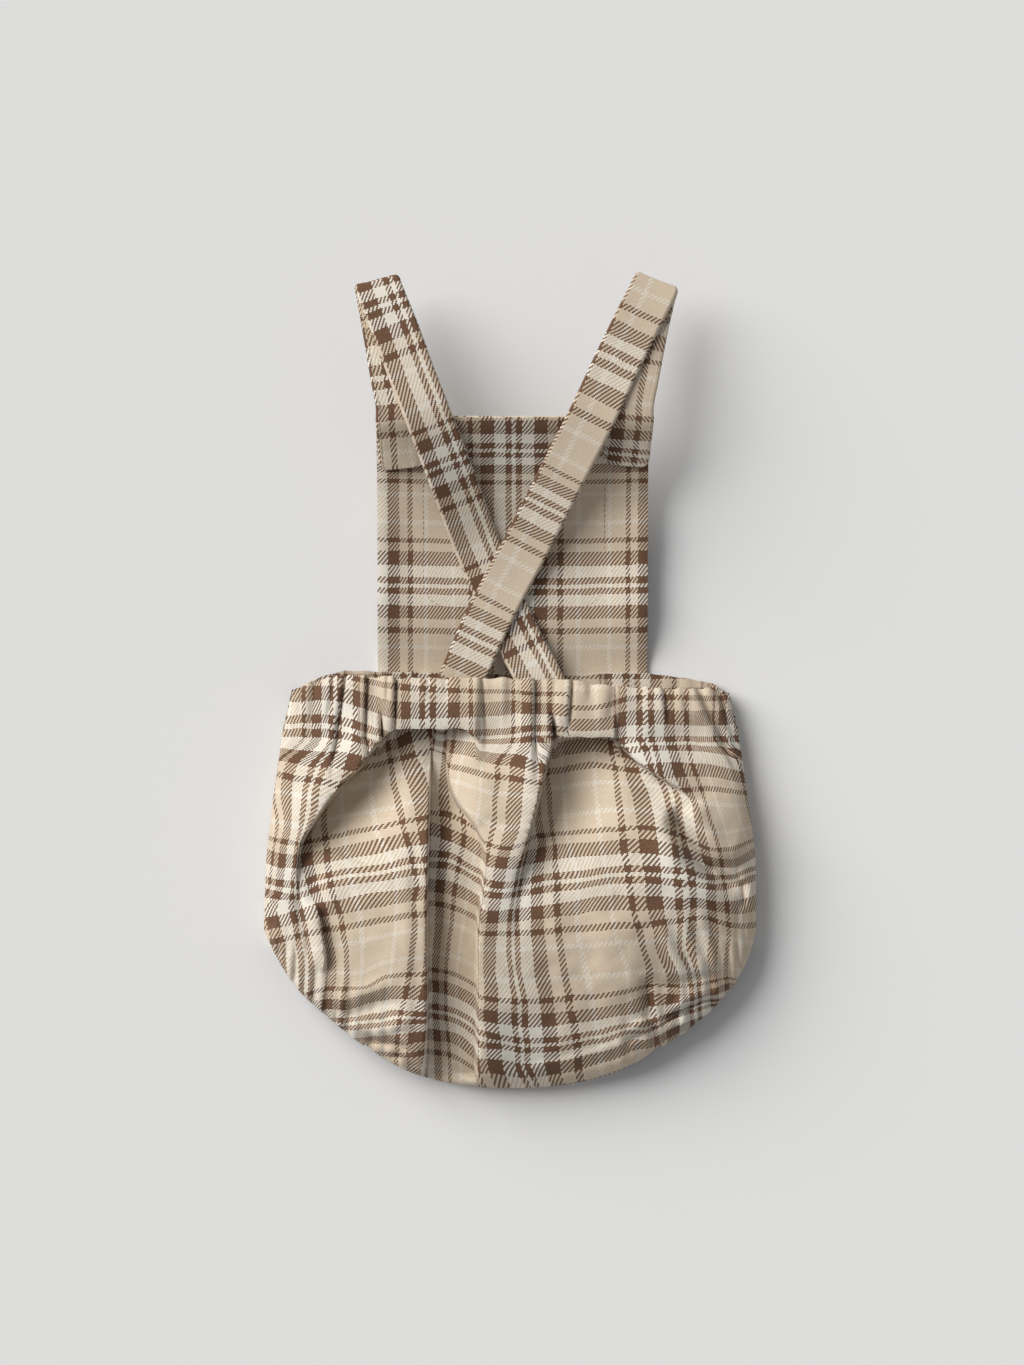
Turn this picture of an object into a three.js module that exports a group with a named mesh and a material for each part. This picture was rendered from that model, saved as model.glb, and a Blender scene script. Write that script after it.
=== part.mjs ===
// A baby's bloomer romper, lying on its front on a flat surface, back upwards.
// Millimetres. +Y runs from the bloomers to the straps, +Z up from the surface, +X to the right.

import * as THREE from 'three';

// ---------------------------------------------------------------- driving dimensions

const SEAM = 0.3;            // free space between two pieces
const CLOTH = 1.2;           // wall of a bloomer panel
const LAYER = 1.0;           // wall of one bib layer and of the pocket
const STRAP_WALL = 2.4;      // two layers of cloth and their turnings
const CASING_WALL = 2.2;     // turned cloth over the elastic

const BIB_WIDTH = 149;
const BIB_CENTRE = 0.3;      // the bib sits this far right of the middle
const BIB_BOTTOM = -6;       // tucked under the front waist casing
const BIB_TOP = 145;
const BIB_BEND = 62;         // the bib lies flat below this line and curls up above it
const BIB_RISE = 34;         // height that the curl gains
const BIB_CURL = 1.8;        // how much of the curl is near the top edge

const POCKET_LEFT = -51;
const POCKET_RIGHT = 53;
const POCKET_BOTTOM = 39;
const POCKET_TOP = 111;
const POCKET_CORNER = 14;    // radius of the lower corners
const POCKET_CROWDING = 1.6; // how much closer its rows lie near the lower corners

const STRAP_WIDTH = 25.5;

const BUTTON_DIAMETER = 15;
const BUTTON_THICK = 2.4;
const BUTTON_BEVEL = 0.5;
const BUTTON_HOLES = { reach: 1.9, radius: 1.4 };
const BUTTON_PLACES = { left: -60, right: 62.5 };
const BUTTON_HEIGHT_ON_BIB = 134;

const WAIST_LINE = -31;      // seam between the casings and the panels
const WAIST_HEIGHT = 21.5;   // middle of the back waist above the surface
const PUFF_HEIGHT = 46;      // top of the bloomers
const SEAM_HEIGHT = 9.5;     // side seams
const CROTCH_HEIGHT = 5;
const LEG_HEIGHT_BACK = 12;  // edge of the leg opening, back
const LEG_HEIGHT_FRONT = 1.4;

const HEM_WIDTH = 12;        // elasticated leg hem at its widest
const HEM_ENDS = 0.08;       // share of a leg opening left plain at each end of its hem

// The tables below are laid out from the middle of the bib; the part's origin is the middle
// of the whole garment's base, which is this far from it.
const ORIGIN = { x: -1.1, y: 0.37 };

// Side seams from the waist to the leg openings: how far out each one is at each height.
const SIDES = [
  { y: WAIST_LINE, left: -126.5, right: 125.0 },
  { y: -65, left: -131.5, right: 130.0 },
  { y: -98, left: -135.3, right: 134.2 },
  { y: -137, left: -136.6, right: 134.4 },
];

// Lower edge, from the left side seam round both legs and the crotch to the right side seam.
const LOWER_EDGE = [
  { x: -136.6, y: -137 },
  { x: -129.0, y: -153 },
  { x: -118.0, y: -169.5 },
  { x: -100.0, y: -186 },
  { x: -79.5, y: -202 },
  { x: -47.8, y: -218.5 },
  { x: 0.0, y: -224.6 },
  { x: 48.3, y: -218.5 },
  { x: 81.3, y: -202 },
  { x: 104.2, y: -186 },
  { x: 120.2, y: -169.5 },
  { x: 129.6, y: -153 },
  { x: 134.4, y: -137 },
];

// Where the leg hems run on the lower edge, as shares of half its width from the middle.
const LEG_START = 0.3;
const LEG_END = 1.0;
const LEG_TURN = { before: 0.08, after: 0.12 };  // over which the edge rises into an opening

// Largest folds of the back panel. Each runs from start by way to end. Height is above the
// puff, negative for a trough. Soft is how far it fades on its left and its right.
const FOLDS = [
  { name: 'long pleat', start: [-46, -30], way: [-49, -130], end: [-45, -222],
    height: 2.5, softLeft: 20, softRight: 5 },
  { name: 'pleat trough', start: [-38, -34], way: [-34, -130], end: [-35, -212],
    height: -5.5, softLeft: 8, softRight: 13 },
  { name: 'middle ridge', start: [-30, -46], way: [-10, -105], end: [-17, -205],
    height: 3, softLeft: 8, softRight: 22 },
  { name: 'centre crease', start: [17, -38], way: [7, -85], end: [2, -150],
    height: 2.5, softLeft: 12, softRight: 6 },
  { name: 'centre hollow', start: [27, -38], way: [22, -80], end: [16, -130],
    height: -4, softLeft: 7, softRight: 22 },
  { name: 'left flap', start: [-76, -36], way: [-107, -64], end: [-119, -122],
    height: 4, softLeft: 16, softRight: 6 },
  { name: 'left hollow', start: [-62, -40], way: [-90, -68], end: [-107, -112],
    height: -7, softLeft: 8, softRight: 20 },
  { name: 'left finger', start: [-112, -116], way: [-108, -142], end: [-102, -166],
    height: 3.5, softLeft: 7, softRight: 6 },
  { name: 'right flap', start: [62, -36], way: [88, -54], end: [112, -92],
    height: 4.5, softLeft: 6, softRight: 18 },
  { name: 'right hollow', start: [44, -38], way: [72, -62], end: [80, -92],
    height: -5.5, softLeft: 18, softRight: 9 },
  { name: 'right side crease', start: [84, -62], way: [98, -104], end: [126, -112],
    height: -3, softLeft: 7, softRight: 7 },
  { name: 'lower right turn', start: [16, -212], way: [60, -205], end: [100, -188],
    height: 3, softLeft: 9, softRight: 5 },
];

const FOLD_ENDS = { least: 0.06, power: 0.6 };     // how softly a fold fades at its ends
const FOLD_STEPS = 12;

const WAIST_GATHERS = { waves: 21, height: 1.6, scallop: 1.1 };
const LEG_GATHERS = { waves: 11, height: 1.5 };

// Strap routes: middle of the strap and the turn of its width from +X, in degrees. Each starts
// where it leaves the bib, folds over at the top and ends inside the back waist casing.
const STRAP_LEFT_ROUTE = [
  { x: -61.8, y: 151.5, z: 41.6, turn: 7 },
  { x: -64.5, y: 166.0, z: 40.8, turn: 9 },
  { x: -69.0, y: 192.0, z: 36.4, turn: 11 },
  { x: -73.2, y: 215.5, z: 32.2, turn: 13.5 },
  { x: -74.4, y: 221.6, z: 34.5, turn: 14.5 },
  { x: -72.6, y: 215.5, z: 37.0, turn: 17 },
  { x: -63.6, y: 192.0, z: 41.2, turn: 20.5 },
  { x: -54.0, y: 166.0, z: 44.6, turn: 20.5 },
  { x: -46.2, y: 146.0, z: 45.0, turn: 20.6 },
  { x: -36.0, y: 119.5, z: 36.0, turn: 20.8 },
  { x: -27.5, y: 97.0, z: 24.0, turn: 21 },
  { x: -19.5, y: 75.6, z: 14.4, turn: 22 },
  { x: -8.2, y: 49.0, z: 11.2, turn: 23.5 },
  { x: 3.9, y: 22.8, z: 11.4, turn: 25 },
  { x: 14.6, y: 2.5, z: 13.6, turn: 27 },
  { x: 21.0, y: -11.0, z: 14.6, turn: 27 },
];
const STRAP_RIGHT_ROUTE = [
  { x: 64.8, y: 151.5, z: 41.6, turn: -7 },
  { x: 67.5, y: 166.0, z: 40.8, turn: -9 },
  { x: 72.5, y: 192.0, z: 36.6, turn: -12 },
  { x: 77.6, y: 213.6, z: 32.6, turn: -18 },
  { x: 79.4, y: 219.2, z: 34.9, turn: -21.5 },
  { x: 77.0, y: 213.6, z: 37.4, turn: -24 },
  { x: 66.6, y: 193.0, z: 41.4, turn: -25 },
  { x: 55.0, y: 169.0, z: 44.8, turn: -25.5 },
  { x: 44.3, y: 146.0, z: 45.2, turn: -26 },
  { x: 31.0, y: 120.0, z: 37.0, turn: -27 },
  { x: 19.5, y: 97.5, z: 26.4, turn: -27.5 },
  { x: 8.3, y: 75.6, z: 18.2, turn: -28 },
  { x: -5.0, y: 51.0, z: 14.4, turn: -28 },
  { x: -17.0, y: 26.5, z: 14.4, turn: -25 },
  { x: -26.3, y: 4.7, z: 14.8, turn: -24 },
  { x: -33.0, y: -11.0, z: 14.8, turn: -24 },
];

// ---------------------------------------------------------------- small helpers

const mix = (a, b, share) => a + (b - a) * share;

function easeStep(low, high, value) {
  return THREE.MathUtils.smoothstep(value, low, high);
}

/** Reads a column of a table of rows sorted by one key, straight between rows. */
function readTable(rows, key, column, value) {
  const rising = rows[rows.length - 1][key] > rows[0][key];
  const after = rows.findIndex((row) => (rising ? row[key] >= value : row[key] <= value));
  if (after <= 0) {
    return after === 0 ? rows[0][column] : rows[rows.length - 1][column];
  }
  const low = rows[after - 1];
  const high = rows[after];
  return mix(low[column], high[column], (value - low[key]) / (high[key] - low[key]));
}

/** Uneven gathers: a wave that never repeats exactly, between -1 and 1. */
function gathers(share, waves) {
  const turn = 2 * Math.PI * waves * share;
  return 0.62 * Math.sin(turn) + 0.38 * Math.sin(turn * 0.618 + 1.3);
}

const never = () => false;
const atEitherEnd = (across, along) => along === 0 || along === 1;

/**
 * Closed wall round a grid of middle points, half its thickness to each side.
 * `place(across, along)` gives the middle surface for shares from 0 to 1. Both sides of a seam
 * stay parallel: the end faces are upright where `upright` says so, and level where `rim` does.
 */
function wall({ columns, rows, place, thickness, upright = never, rim = never }) {
  const points = [];
  for (let row = 0; row <= rows; row += 1) {
    for (let column = 0; column <= columns; column += 1) {
      points.push(place(column / columns, row / rows));
    }
  }
  const width = columns + 1;
  const at = (column, row) => points[row * width + column];
  const positions = [];
  const under = [];
  for (let row = 0; row <= rows; row += 1) {
    for (let column = 0; column <= columns; column += 1) {
      const across = at(Math.min(column + 1, columns), row).clone();
      across.sub(at(Math.max(column - 1, 0), row));
      const along = at(column, Math.min(row + 1, rows)).clone();
      along.sub(at(column, Math.max(row - 1, 0)));
      if (upright(column / columns, row / rows)) {
        along.z = 0;
      }
      const out = along.cross(across);
      if (rim(column / columns, row / rows)) {
        out.z = 0;
      }
      out.normalize().multiplyScalar(thickness / 2);
      const middle = at(column, row);
      positions.push(middle.x + out.x, middle.y + out.y, middle.z + out.z);
      under.push(middle.x - out.x, middle.y - out.y, middle.z - out.z);
    }
  }
  const back = points.length;
  positions.push(...under);

  const index = [];
  const quad = (a, b, c, d) => index.push(a, b, c, a, c, d);
  for (let row = 0; row < rows; row += 1) {
    for (let column = 0; column < columns; column += 1) {
      const a = row * width + column;
      const b = a + 1;
      const c = b + width;
      const d = a + width;
      quad(a, d, c, b);
      quad(back + a, back + b, back + c, back + d);
    }
  }
  for (let column = 0; column < columns; column += 1) {
    const first = column;
    const last = rows * width + column;
    quad(first, first + 1, back + first + 1, back + first);
    quad(last + 1, last, back + last, back + last + 1);
  }
  for (let row = 0; row < rows; row += 1) {
    const left = row * width;
    const right = left + columns;
    quad(left + width, left, back + left, back + left + width);
    quad(right, right + width, back + right + width, back + right);
  }
  const geometry = new THREE.BufferGeometry();
  geometry.setAttribute('position', new THREE.Float32BufferAttribute(positions, 3));
  geometry.setIndex(index);
  geometry.computeVertexNormals();
  return geometry;
}

// ---------------------------------------------------------------- bloomers

/** Quarter of a rounded cross-section: how far out and how high, from its middle to its edge. */
function roll(share, squareness) {
  const angle = (Math.PI / 2) * share ** (squareness / 2);
  return {
    out: Math.sin(angle) ** (2 / squareness),
    up: Math.max(Math.cos(angle), 0) ** (2 / squareness),
  };
}

const lowerEdge = new THREE.CatmullRomCurve3(
  LOWER_EDGE.map((row) => new THREE.Vector3(row.x, row.y, 0)), false, 'centripetal',
);
lowerEdge.arcLengthDivisions = 400;

/** Place on the surface plan: `side` from -1 to 1 across, `down` from 0 at the waist to 1. */
function plan(side, down) {
  const hem = lowerEdge.getPointAt((side + 1) / 2);
  const last = SIDES.length - 1;
  const sideY = mix(SIDES[0].y, SIDES[last].y, down);
  const left = readTable(SIDES, 'y', 'left', sideY);
  const right = readTable(SIDES, 'y', 'right', sideY);
  const share = (side + 1) / 2;
  const seamX = mix(left, right, share);
  const cornerX = mix(SIDES[last].left, SIDES[last].right, share);
  return new THREE.Vector2(
    seamX + (hem.x - cornerX) * down,
    mix(SIDES[0].y, hem.y, down),
  );
}

/** Share of a fold's full height, by the distance of a place from the fold's line. */
function foldAt(fold, x, y) {
  const [startX, startY] = fold.start;
  const [wayX, wayY] = fold.way;
  const [endX, endY] = fold.end;
  let best = null;
  for (let step = 0; step <= FOLD_STEPS; step += 1) {
    const t = step / FOLD_STEPS;
    const lineX = mix(mix(startX, wayX, t), mix(wayX, endX, t), t);
    const lineY = mix(mix(startY, wayY, t), mix(wayY, endY, t), t);
    const distance = Math.hypot(x - lineX, y - lineY);
    if (best === null || distance < best.distance) {
      best = { t, distance, lineX, lineY };
    }
  }
  const alongX = mix(wayX - startX, endX - wayX, best.t);
  const alongY = mix(wayY - startY, endY - wayY, best.t);
  const onLeft = alongX * (y - best.lineY) - alongY * (x - best.lineX) < 0;
  const soft = onLeft ? fold.softLeft : fold.softRight;
  const within = THREE.MathUtils.clamp(best.t, FOLD_ENDS.least, 1 - FOLD_ENDS.least);
  const ends = Math.sin(Math.PI * within) ** FOLD_ENDS.power;
  return fold.height * ends * Math.exp(-((best.distance / soft) ** 2));
}

/** Height of the leg openings' and the crotch's edge along the lower edge. */
function edgeHeight(side, legHeight, crotchHeight) {
  const along = Math.abs(side);
  const opened = easeStep(LEG_START - LEG_TURN.before, LEG_START + LEG_TURN.after, along);
  const closed = easeStep(LEG_END - LEG_TURN.before, LEG_END, along);
  return mix(mix(crotchHeight, legHeight, opened), SEAM_HEIGHT, closed);
}

const PUFF_SQUARENESS = 2.7;
const PUFF_RISE = { from: -0.12, to: 0.62, power: 0.9 };   // shares of the way down
const HEM_ROUNDING = 2.2;
const FLOOR_SQUARENESS = 6;
const EDGE_CHANGE = { back: 3, front: 6 };   // how late each edge takes the lower edge's height

/** Middle surface of the back of the bloomers. */
function backSurface(across, down) {
  const side = across * 2 - 1;
  const { out, up } = roll(Math.abs(side), PUFF_SQUARENESS);
  const place = plan(Math.sign(side) * out, down);
  const risen = easeStep(PUFF_RISE.from, PUFF_RISE.to, down) ** PUFF_RISE.power;
  const rise = mix(WAIST_HEIGHT - 1, PUFF_HEIGHT, risen);
  const round = Math.max(1 - down ** HEM_ROUNDING, 0) ** (1 / HEM_ROUNDING);
  const legEdge = edgeHeight(Math.sign(side) * out, LEG_HEIGHT_BACK, CROTCH_HEIGHT);
  const edge = mix(SEAM_HEIGHT, legEdge, down ** EDGE_CHANGE.back) + SEAM / 2;
  const folds = FOLDS.reduce((sum, fold) => sum + foldAt(fold, place.x, place.y), 0);
  const crown = up * round;
  return new THREE.Vector3(place.x, place.y, edge + (rise - edge) * crown + folds * crown ** 0.5);
}

/** Middle surface of the front of the bloomers, flat on the surface it lies on. */
function frontSurface(across, down) {
  const side = across * 2 - 1;
  const { out, up } = roll(Math.abs(side), FLOOR_SQUARENESS);
  const place = plan(Math.sign(side) * out, down);
  const round = Math.max(1 - down ** (2 * FLOOR_SQUARENESS), 0) ** (0.5 / FLOOR_SQUARENESS);
  const legEdge = edgeHeight(Math.sign(side) * out, LEG_HEIGHT_FRONT, CROTCH_HEIGHT);
  const edge = mix(SEAM_HEIGHT, legEdge, down ** EDGE_CHANGE.front) - SEAM / 2;
  return new THREE.Vector3(place.x, place.y, edge + (CLOTH / 2 - edge) * up * round);
}

/** Share of the way down at which a panel ends and its leg hem begins. */
function hemStart(across) {
  const along = Math.abs(across * 2 - 1);
  const onLeg = (along - LEG_START) / (LEG_END - LEG_START);
  if (onLeg <= 0 || onLeg >= 1) {
    return 1;
  }
  const reach = -LOWER_EDGE[Math.floor(LOWER_EDGE.length / 2)].y;
  return 1 - (HEM_WIDTH / reach) * Math.sin(Math.PI * onLeg);
}

const HEM_GAP = 1.8 * SEAM;  // free space along the cloth between a panel and its leg hem
const PANEL_LENGTH = 150;    // length of cloth that the gap is a share of
const CROWDING = 1.3;        // how much closer a panel's rows lie near its lower edge

function panel(surface, columns, rows) {
  return wall({
    columns,
    rows,
    thickness: CLOTH,
    upright: (across, along) => along === 0 || (along === 1 && hemStart(across) < 1),
    rim: (across, along) => across === 0 || across === 1
      || (along === 1 && hemStart(across) === 1),
    place: (across, along) => {
      const start = hemStart(across);
      const end = start < 1 ? start - HEM_GAP / PANEL_LENGTH : 1;
      return surface(across, end * (1 - (1 - along) ** CROWDING));
    },
  });
}

/** Leg hem on one panel. `hand` is -1 for the left leg and 1 for the right. */
function legHem(surface, hand) {
  const inner = mix(LEG_START, LEG_END, HEM_ENDS);
  const outer = mix(LEG_START, LEG_END, 1 - HEM_ENDS);
  return wall({
    columns: LEG_GATHERS.waves * 4,
    rows: 2,
    thickness: CLOTH,
    upright: (across, along) => along === 0,
    place: (across, along) => {
      const reach = hand < 0 ? mix(outer, inner, across) : mix(inner, outer, across);
      const share = (hand * reach + 1) / 2;
      const point = surface(share, mix(hemStart(share), 1, along));
      const wave = (1 + gathers(across, LEG_GATHERS.waves)) / 2;
      point.z += LEG_GATHERS.height * wave * along * Math.sin(Math.PI * across);
      return point;
    },
  });
}

// ---------------------------------------------------------------- waist casings

const CASING_TOP_BACK = [
  { x: -121, y: -6 },
  { x: -100, y: 1.5 },
  { x: 0, y: 0.5 },
  { x: 90, y: 0 },
  { x: 120, y: -9 },
];
const CASING_TOP_FRONT = [
  { x: -121, y: -5 },
  { x: -92, y: 5 },
  { x: 78, y: 4.5 },
  { x: 120, y: -9 },
];
const CASING_NARROWING = 6;  // how much further in the top edge is than the seam, each side
const CASING_BULGE = 2.2;    // the elastic's tube stands this proud of its two edges
const CASING_SETTLES = 0.6;  // share of the gathers' height lost on the way to the seam
const BIB_PLAY = 0.4;        // the front casing's room above the bib tucked under it
const BIB_STEP = { from: 0.42, to: 0.95 };   // where the front casing comes off the bib

/** Tilts the plain ring of the waist into a casing: gathered, bulging, scalloped on top. */
function casingPlace(across, along, topEdge) {
  const side = across * 2 - 1;
  const seam = plan(Math.sign(side) * roll(Math.abs(side), PUFF_SQUARENESS).out, 0);
  const narrowing = CASING_NARROWING * (1 - along) * Math.abs(side) ** 2;
  const x = seam.x - Math.sign(side) * narrowing;
  const wave = gathers(across, WAIST_GATHERS.waves);
  const top = readTable(topEdge, 'x', 'y', x) + wave * WAIST_GATHERS.scallop;
  return { x, y: mix(top, WAIST_LINE + SEAM, along), wave };
}

function waistCasingBack() {
  return wall({
    columns: WAIST_GATHERS.waves * 5,
    rows: 3,
    thickness: CASING_WALL,
    upright: atEitherEnd,
    place: (across, along) => {
      const { x, y, wave } = casingPlace(across, along, CASING_TOP_BACK);
      const { up } = roll(Math.abs(across * 2 - 1), PUFF_SQUARENESS);
      const flat = mix(SEAM_HEIGHT + SEAM / 2, WAIST_HEIGHT, up);
      const bulge = CASING_BULGE * Math.sin(Math.PI * along) * up;
      const gather = WAIST_GATHERS.height * wave * (1 - CASING_SETTLES * along) * up ** 0.5;
      return new THREE.Vector3(x, y, flat + bulge + gather);
    },
  });
}

function waistCasingFront() {
  const onBib = BIB_LIFT_TUCKED + LAYER * 1.5 + SEAM * 2 + CASING_WALL / 2 + BIB_PLAY;
  return wall({
    columns: WAIST_GATHERS.waves * 4,
    rows: 3,
    thickness: CASING_WALL,
    upright: atEitherEnd,
    place: (across, along) => {
      const { x, y, wave } = casingPlace(across, along, CASING_TOP_FRONT);
      const { up } = roll(Math.abs(across * 2 - 1), FLOOR_SQUARENESS);
      const lying = mix(onBib, CASING_WALL / 2, easeStep(BIB_STEP.from, BIB_STEP.to, along));
      const seamHeight = SEAM_HEIGHT - SEAM / 2;
      const gather = WAIST_GATHERS.height * 0.5 * (1 + wave) * (1 - along) * up;
      return new THREE.Vector3(x, y, mix(seamHeight, lying, up) + gather);
    },
  });
}

// ---------------------------------------------------------------- bib

const BIB_LIFT_TUCKED = LAYER / 2;                // outer layer flat on the surface
const BIB_LIFT_POCKET = LAYER * 1.5 + SEAM;       // outer layer lying on the pocket

/** How far up the curl a height on the bib is, from 0 at the bend to 1 at the top edge. */
const curlShare = (y) => Math.max(y - BIB_BEND, 0) / (BIB_TOP - BIB_BEND);

function bibSlope(y) {
  return (BIB_RISE * BIB_CURL * curlShare(y) ** (BIB_CURL - 1)) / (BIB_TOP - BIB_BEND);
}

/** A place on the bib, moved out from its outer layer's middle along the bib's own normal. */
function bibPoint(x, y, moved) {
  const height = BIB_RISE * curlShare(y) ** BIB_CURL;
  const lift = mix(BIB_LIFT_TUCKED, BIB_LIFT_POCKET, easeStep(8, 30, y));
  const normal = new THREE.Vector3(0, -bibSlope(y), 1).normalize();
  return new THREE.Vector3(x, y, lift + height).addScaledVector(normal, moved);
}

function bibLayer(moved) {
  const left = BIB_CENTRE - BIB_WIDTH / 2;
  return wall({
    columns: 4,
    rows: 16,
    thickness: LAYER,
    place: (across, along) => bibPoint(
      left + BIB_WIDTH * across, mix(BIB_TOP, BIB_BOTTOM, along), moved,
    ),
  });
}

function pocket() {
  const centre = (POCKET_LEFT + POCKET_RIGHT) / 2;
  const half = (POCKET_RIGHT - POCKET_LEFT) / 2;
  return wall({
    columns: 4,
    rows: 12,
    thickness: LAYER,
    place: (across, along) => {
      const y = mix(POCKET_TOP, POCKET_BOTTOM, 1 - (1 - along) ** POCKET_CROWDING);
      const short = Math.max(POCKET_CORNER - (y - POCKET_BOTTOM), 0);
      const inset = POCKET_CORNER - Math.sqrt(POCKET_CORNER ** 2 - short ** 2);
      const x = centre + (half - inset) * (across * 2 - 1);
      return bibPoint(x, y, -(LAYER + SEAM));
    },
  });
}

// ---------------------------------------------------------------- straps and buttons

const STRAP_ON_BIB = LAYER * 1.5 + SEAM * 2 + STRAP_WALL / 2;
const SHARES_ON_BIB = [0, 0.33, 0.67, 1];

/** The strap's first rows lie on the bib lining; the rest follow the route. */
function strap(bibStart, route) {
  const onBib = SHARES_ON_BIB.map((share) => {
    const y = mix(bibStart.y, BIB_TOP, share);
    const { x, y: movedY, z } = bibPoint(
      mix(bibStart.x, route[0].x, share), y, STRAP_ON_BIB,
    );
    return { x, y: movedY, z, slope: bibSlope(y), turn: bibStart.turn };
  });
  const stations = [...onBib, ...route];
  const middle = new THREE.CatmullRomCurve3(
    stations.map((row) => new THREE.Vector3(row.x, row.y, row.z)), false, 'centripetal',
  );
  const steps = stations.length - 1;
  return wall({
    columns: 2,
    rows: steps * 2,
    thickness: STRAP_WALL,
    place: (across, along) => {
      const point = middle.getPoint(along);
      const before = Math.min(Math.floor(along * steps), steps - 1);
      const share = along * steps - before;
      const low = stations[before];
      const high = stations[before + 1];
      const angle = THREE.MathUtils.degToRad(mix(low.turn, high.turn, share));
      const offset = (across - 0.5) * STRAP_WIDTH;
      point.x += offset * Math.cos(angle);
      point.y += offset * Math.sin(angle);
      point.z += offset * Math.sin(angle) * mix(low.slope ?? 0, high.slope ?? 0, share);
      return point;
    },
  });
}

/** Plain four-hole button on the outside of the bib, tilted with it. */
function button(x) {
  const half = BUTTON_THICK / 2;
  const face = new THREE.Shape();
  face.absarc(0, 0, BUTTON_DIAMETER / 2 - BUTTON_BEVEL, 0, 2 * Math.PI);
  for (const [handX, handY] of [[1, 1], [-1, 1], [-1, -1], [1, -1]]) {
    const hole = new THREE.Path();
    hole.absarc(
      handX * BUTTON_HOLES.reach, handY * BUTTON_HOLES.reach, BUTTON_HOLES.radius,
      0, 2 * Math.PI, true,
    );
    face.holes.push(hole);
  }
  const geometry = new THREE.ExtrudeGeometry(face, {
    depth: BUTTON_THICK - 2 * BUTTON_BEVEL,
    curveSegments: 5,
    bevelSize: BUTTON_BEVEL,
    bevelThickness: BUTTON_BEVEL,
    bevelSegments: 1,
  });
  geometry.translate(0, 0, BUTTON_BEVEL - half);
  const centre = bibPoint(x, BUTTON_HEIGHT_ON_BIB, -(LAYER / 2 + SEAM + half));
  const above = bibPoint(x, BUTTON_HEIGHT_ON_BIB, 0);
  const normal = above.sub(centre).normalize();
  const turn = new THREE.Quaternion().setFromUnitVectors(new THREE.Vector3(0, 0, 1), normal);
  return { geometry, centre, turn };
}

// ---------------------------------------------------------------- assembly

const clothColours = { panel: 0xc6b49e, bib: 0xbcaa94, strap: 0xc9b8a2, casing: 0xbfae99 };

function clothMaterial(colour) {
  return new THREE.MeshStandardMaterial({ color: colour, roughness: 0.95, metalness: 0 });
}

const romper = new THREE.Group();
romper.name = 'romper';
romper.position.set(-ORIGIN.x, -ORIGIN.y, 0);

function add(name, geometry, material) {
  const mesh = new THREE.Mesh(geometry, material);
  mesh.name = name;
  romper.add(mesh);
  return mesh;
}

add('back_panel', panel(backSurface, 42, 24), clothMaterial(clothColours.panel));
add('front_panel', panel(frontSurface, 38, 8), clothMaterial(clothColours.panel));
add('leg_hem_back_left', legHem(backSurface, -1), clothMaterial(clothColours.casing));
add('leg_hem_back_right', legHem(backSurface, 1), clothMaterial(clothColours.casing));
add('leg_hem_front_left', legHem(frontSurface, -1), clothMaterial(clothColours.casing));
add('leg_hem_front_right', legHem(frontSurface, 1), clothMaterial(clothColours.casing));
add('waist_casing_back', waistCasingBack(), clothMaterial(clothColours.casing));
add('waist_casing_front', waistCasingFront(), clothMaterial(clothColours.casing));
add('bib_front', bibLayer(0), clothMaterial(clothColours.bib));
add('bib_lining', bibLayer(LAYER + SEAM), clothMaterial(clothColours.bib));
add('bib_pocket', pocket(), clothMaterial(clothColours.bib));
add('strap_left', strap({ x: -60.2, y: 119, turn: 6 }, STRAP_LEFT_ROUTE),
  clothMaterial(clothColours.strap));
add('strap_right', strap({ x: 62.4, y: 120.5, turn: -5 }, STRAP_RIGHT_ROUTE),
  clothMaterial(clothColours.strap));

for (const [hand, x] of Object.entries(BUTTON_PLACES)) {
  const { geometry, centre, turn } = button(x);
  const material = new THREE.MeshStandardMaterial({
    color: 0x8a6a4c, roughness: 0.45, metalness: 0,
  });
  const mesh = add(`button_${hand}`, geometry, material);
  mesh.position.copy(centre);
  mesh.quaternion.copy(turn);
}

export default romper;
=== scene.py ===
"""A baby's bloomer romper in check twill, lying on its front: cloth, sewing, buttons and studio.

Sheets and seams are laid out in millimetres on the surface it lies on, as in the part's own
drawing, and are turned into metres in the part's frame when each mesh is made.
"""

import math

import bmesh
import bpy
import numpy as np
from bpy.props import FloatProperty, FloatVectorProperty, IntProperty, PointerProperty
from bpy.types import Operator, Panel, PropertyGroup
from mathutils import Matrix, Vector


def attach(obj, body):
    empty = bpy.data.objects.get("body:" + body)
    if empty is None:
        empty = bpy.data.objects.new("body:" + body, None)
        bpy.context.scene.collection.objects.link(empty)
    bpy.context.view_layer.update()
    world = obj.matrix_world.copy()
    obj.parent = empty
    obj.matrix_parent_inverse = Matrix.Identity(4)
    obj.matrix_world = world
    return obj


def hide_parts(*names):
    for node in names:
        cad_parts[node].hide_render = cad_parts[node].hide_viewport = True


bl_info = {
    "name": "Baby Bloomer Romper",
    "version": (1, 0, 0),
    "blender": (4, 5, 0),
    "location": "View3D > Sidebar > Romper",
    "description": "Dresses the romper in check twill, sews it and sets up its studio",
    "category": "Object",
}

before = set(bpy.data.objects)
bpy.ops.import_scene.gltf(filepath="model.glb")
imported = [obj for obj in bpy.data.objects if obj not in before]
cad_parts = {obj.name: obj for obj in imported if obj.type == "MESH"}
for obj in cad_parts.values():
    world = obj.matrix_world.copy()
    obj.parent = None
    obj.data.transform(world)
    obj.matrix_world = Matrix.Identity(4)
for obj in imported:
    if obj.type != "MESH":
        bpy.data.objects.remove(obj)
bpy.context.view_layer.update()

MM = 0.001
ORIGIN = np.array((-1.1, 0.37, 0.0))  # where the part's own origin is on the drawing, mm


# ---- sizes of the part, mm

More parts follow.
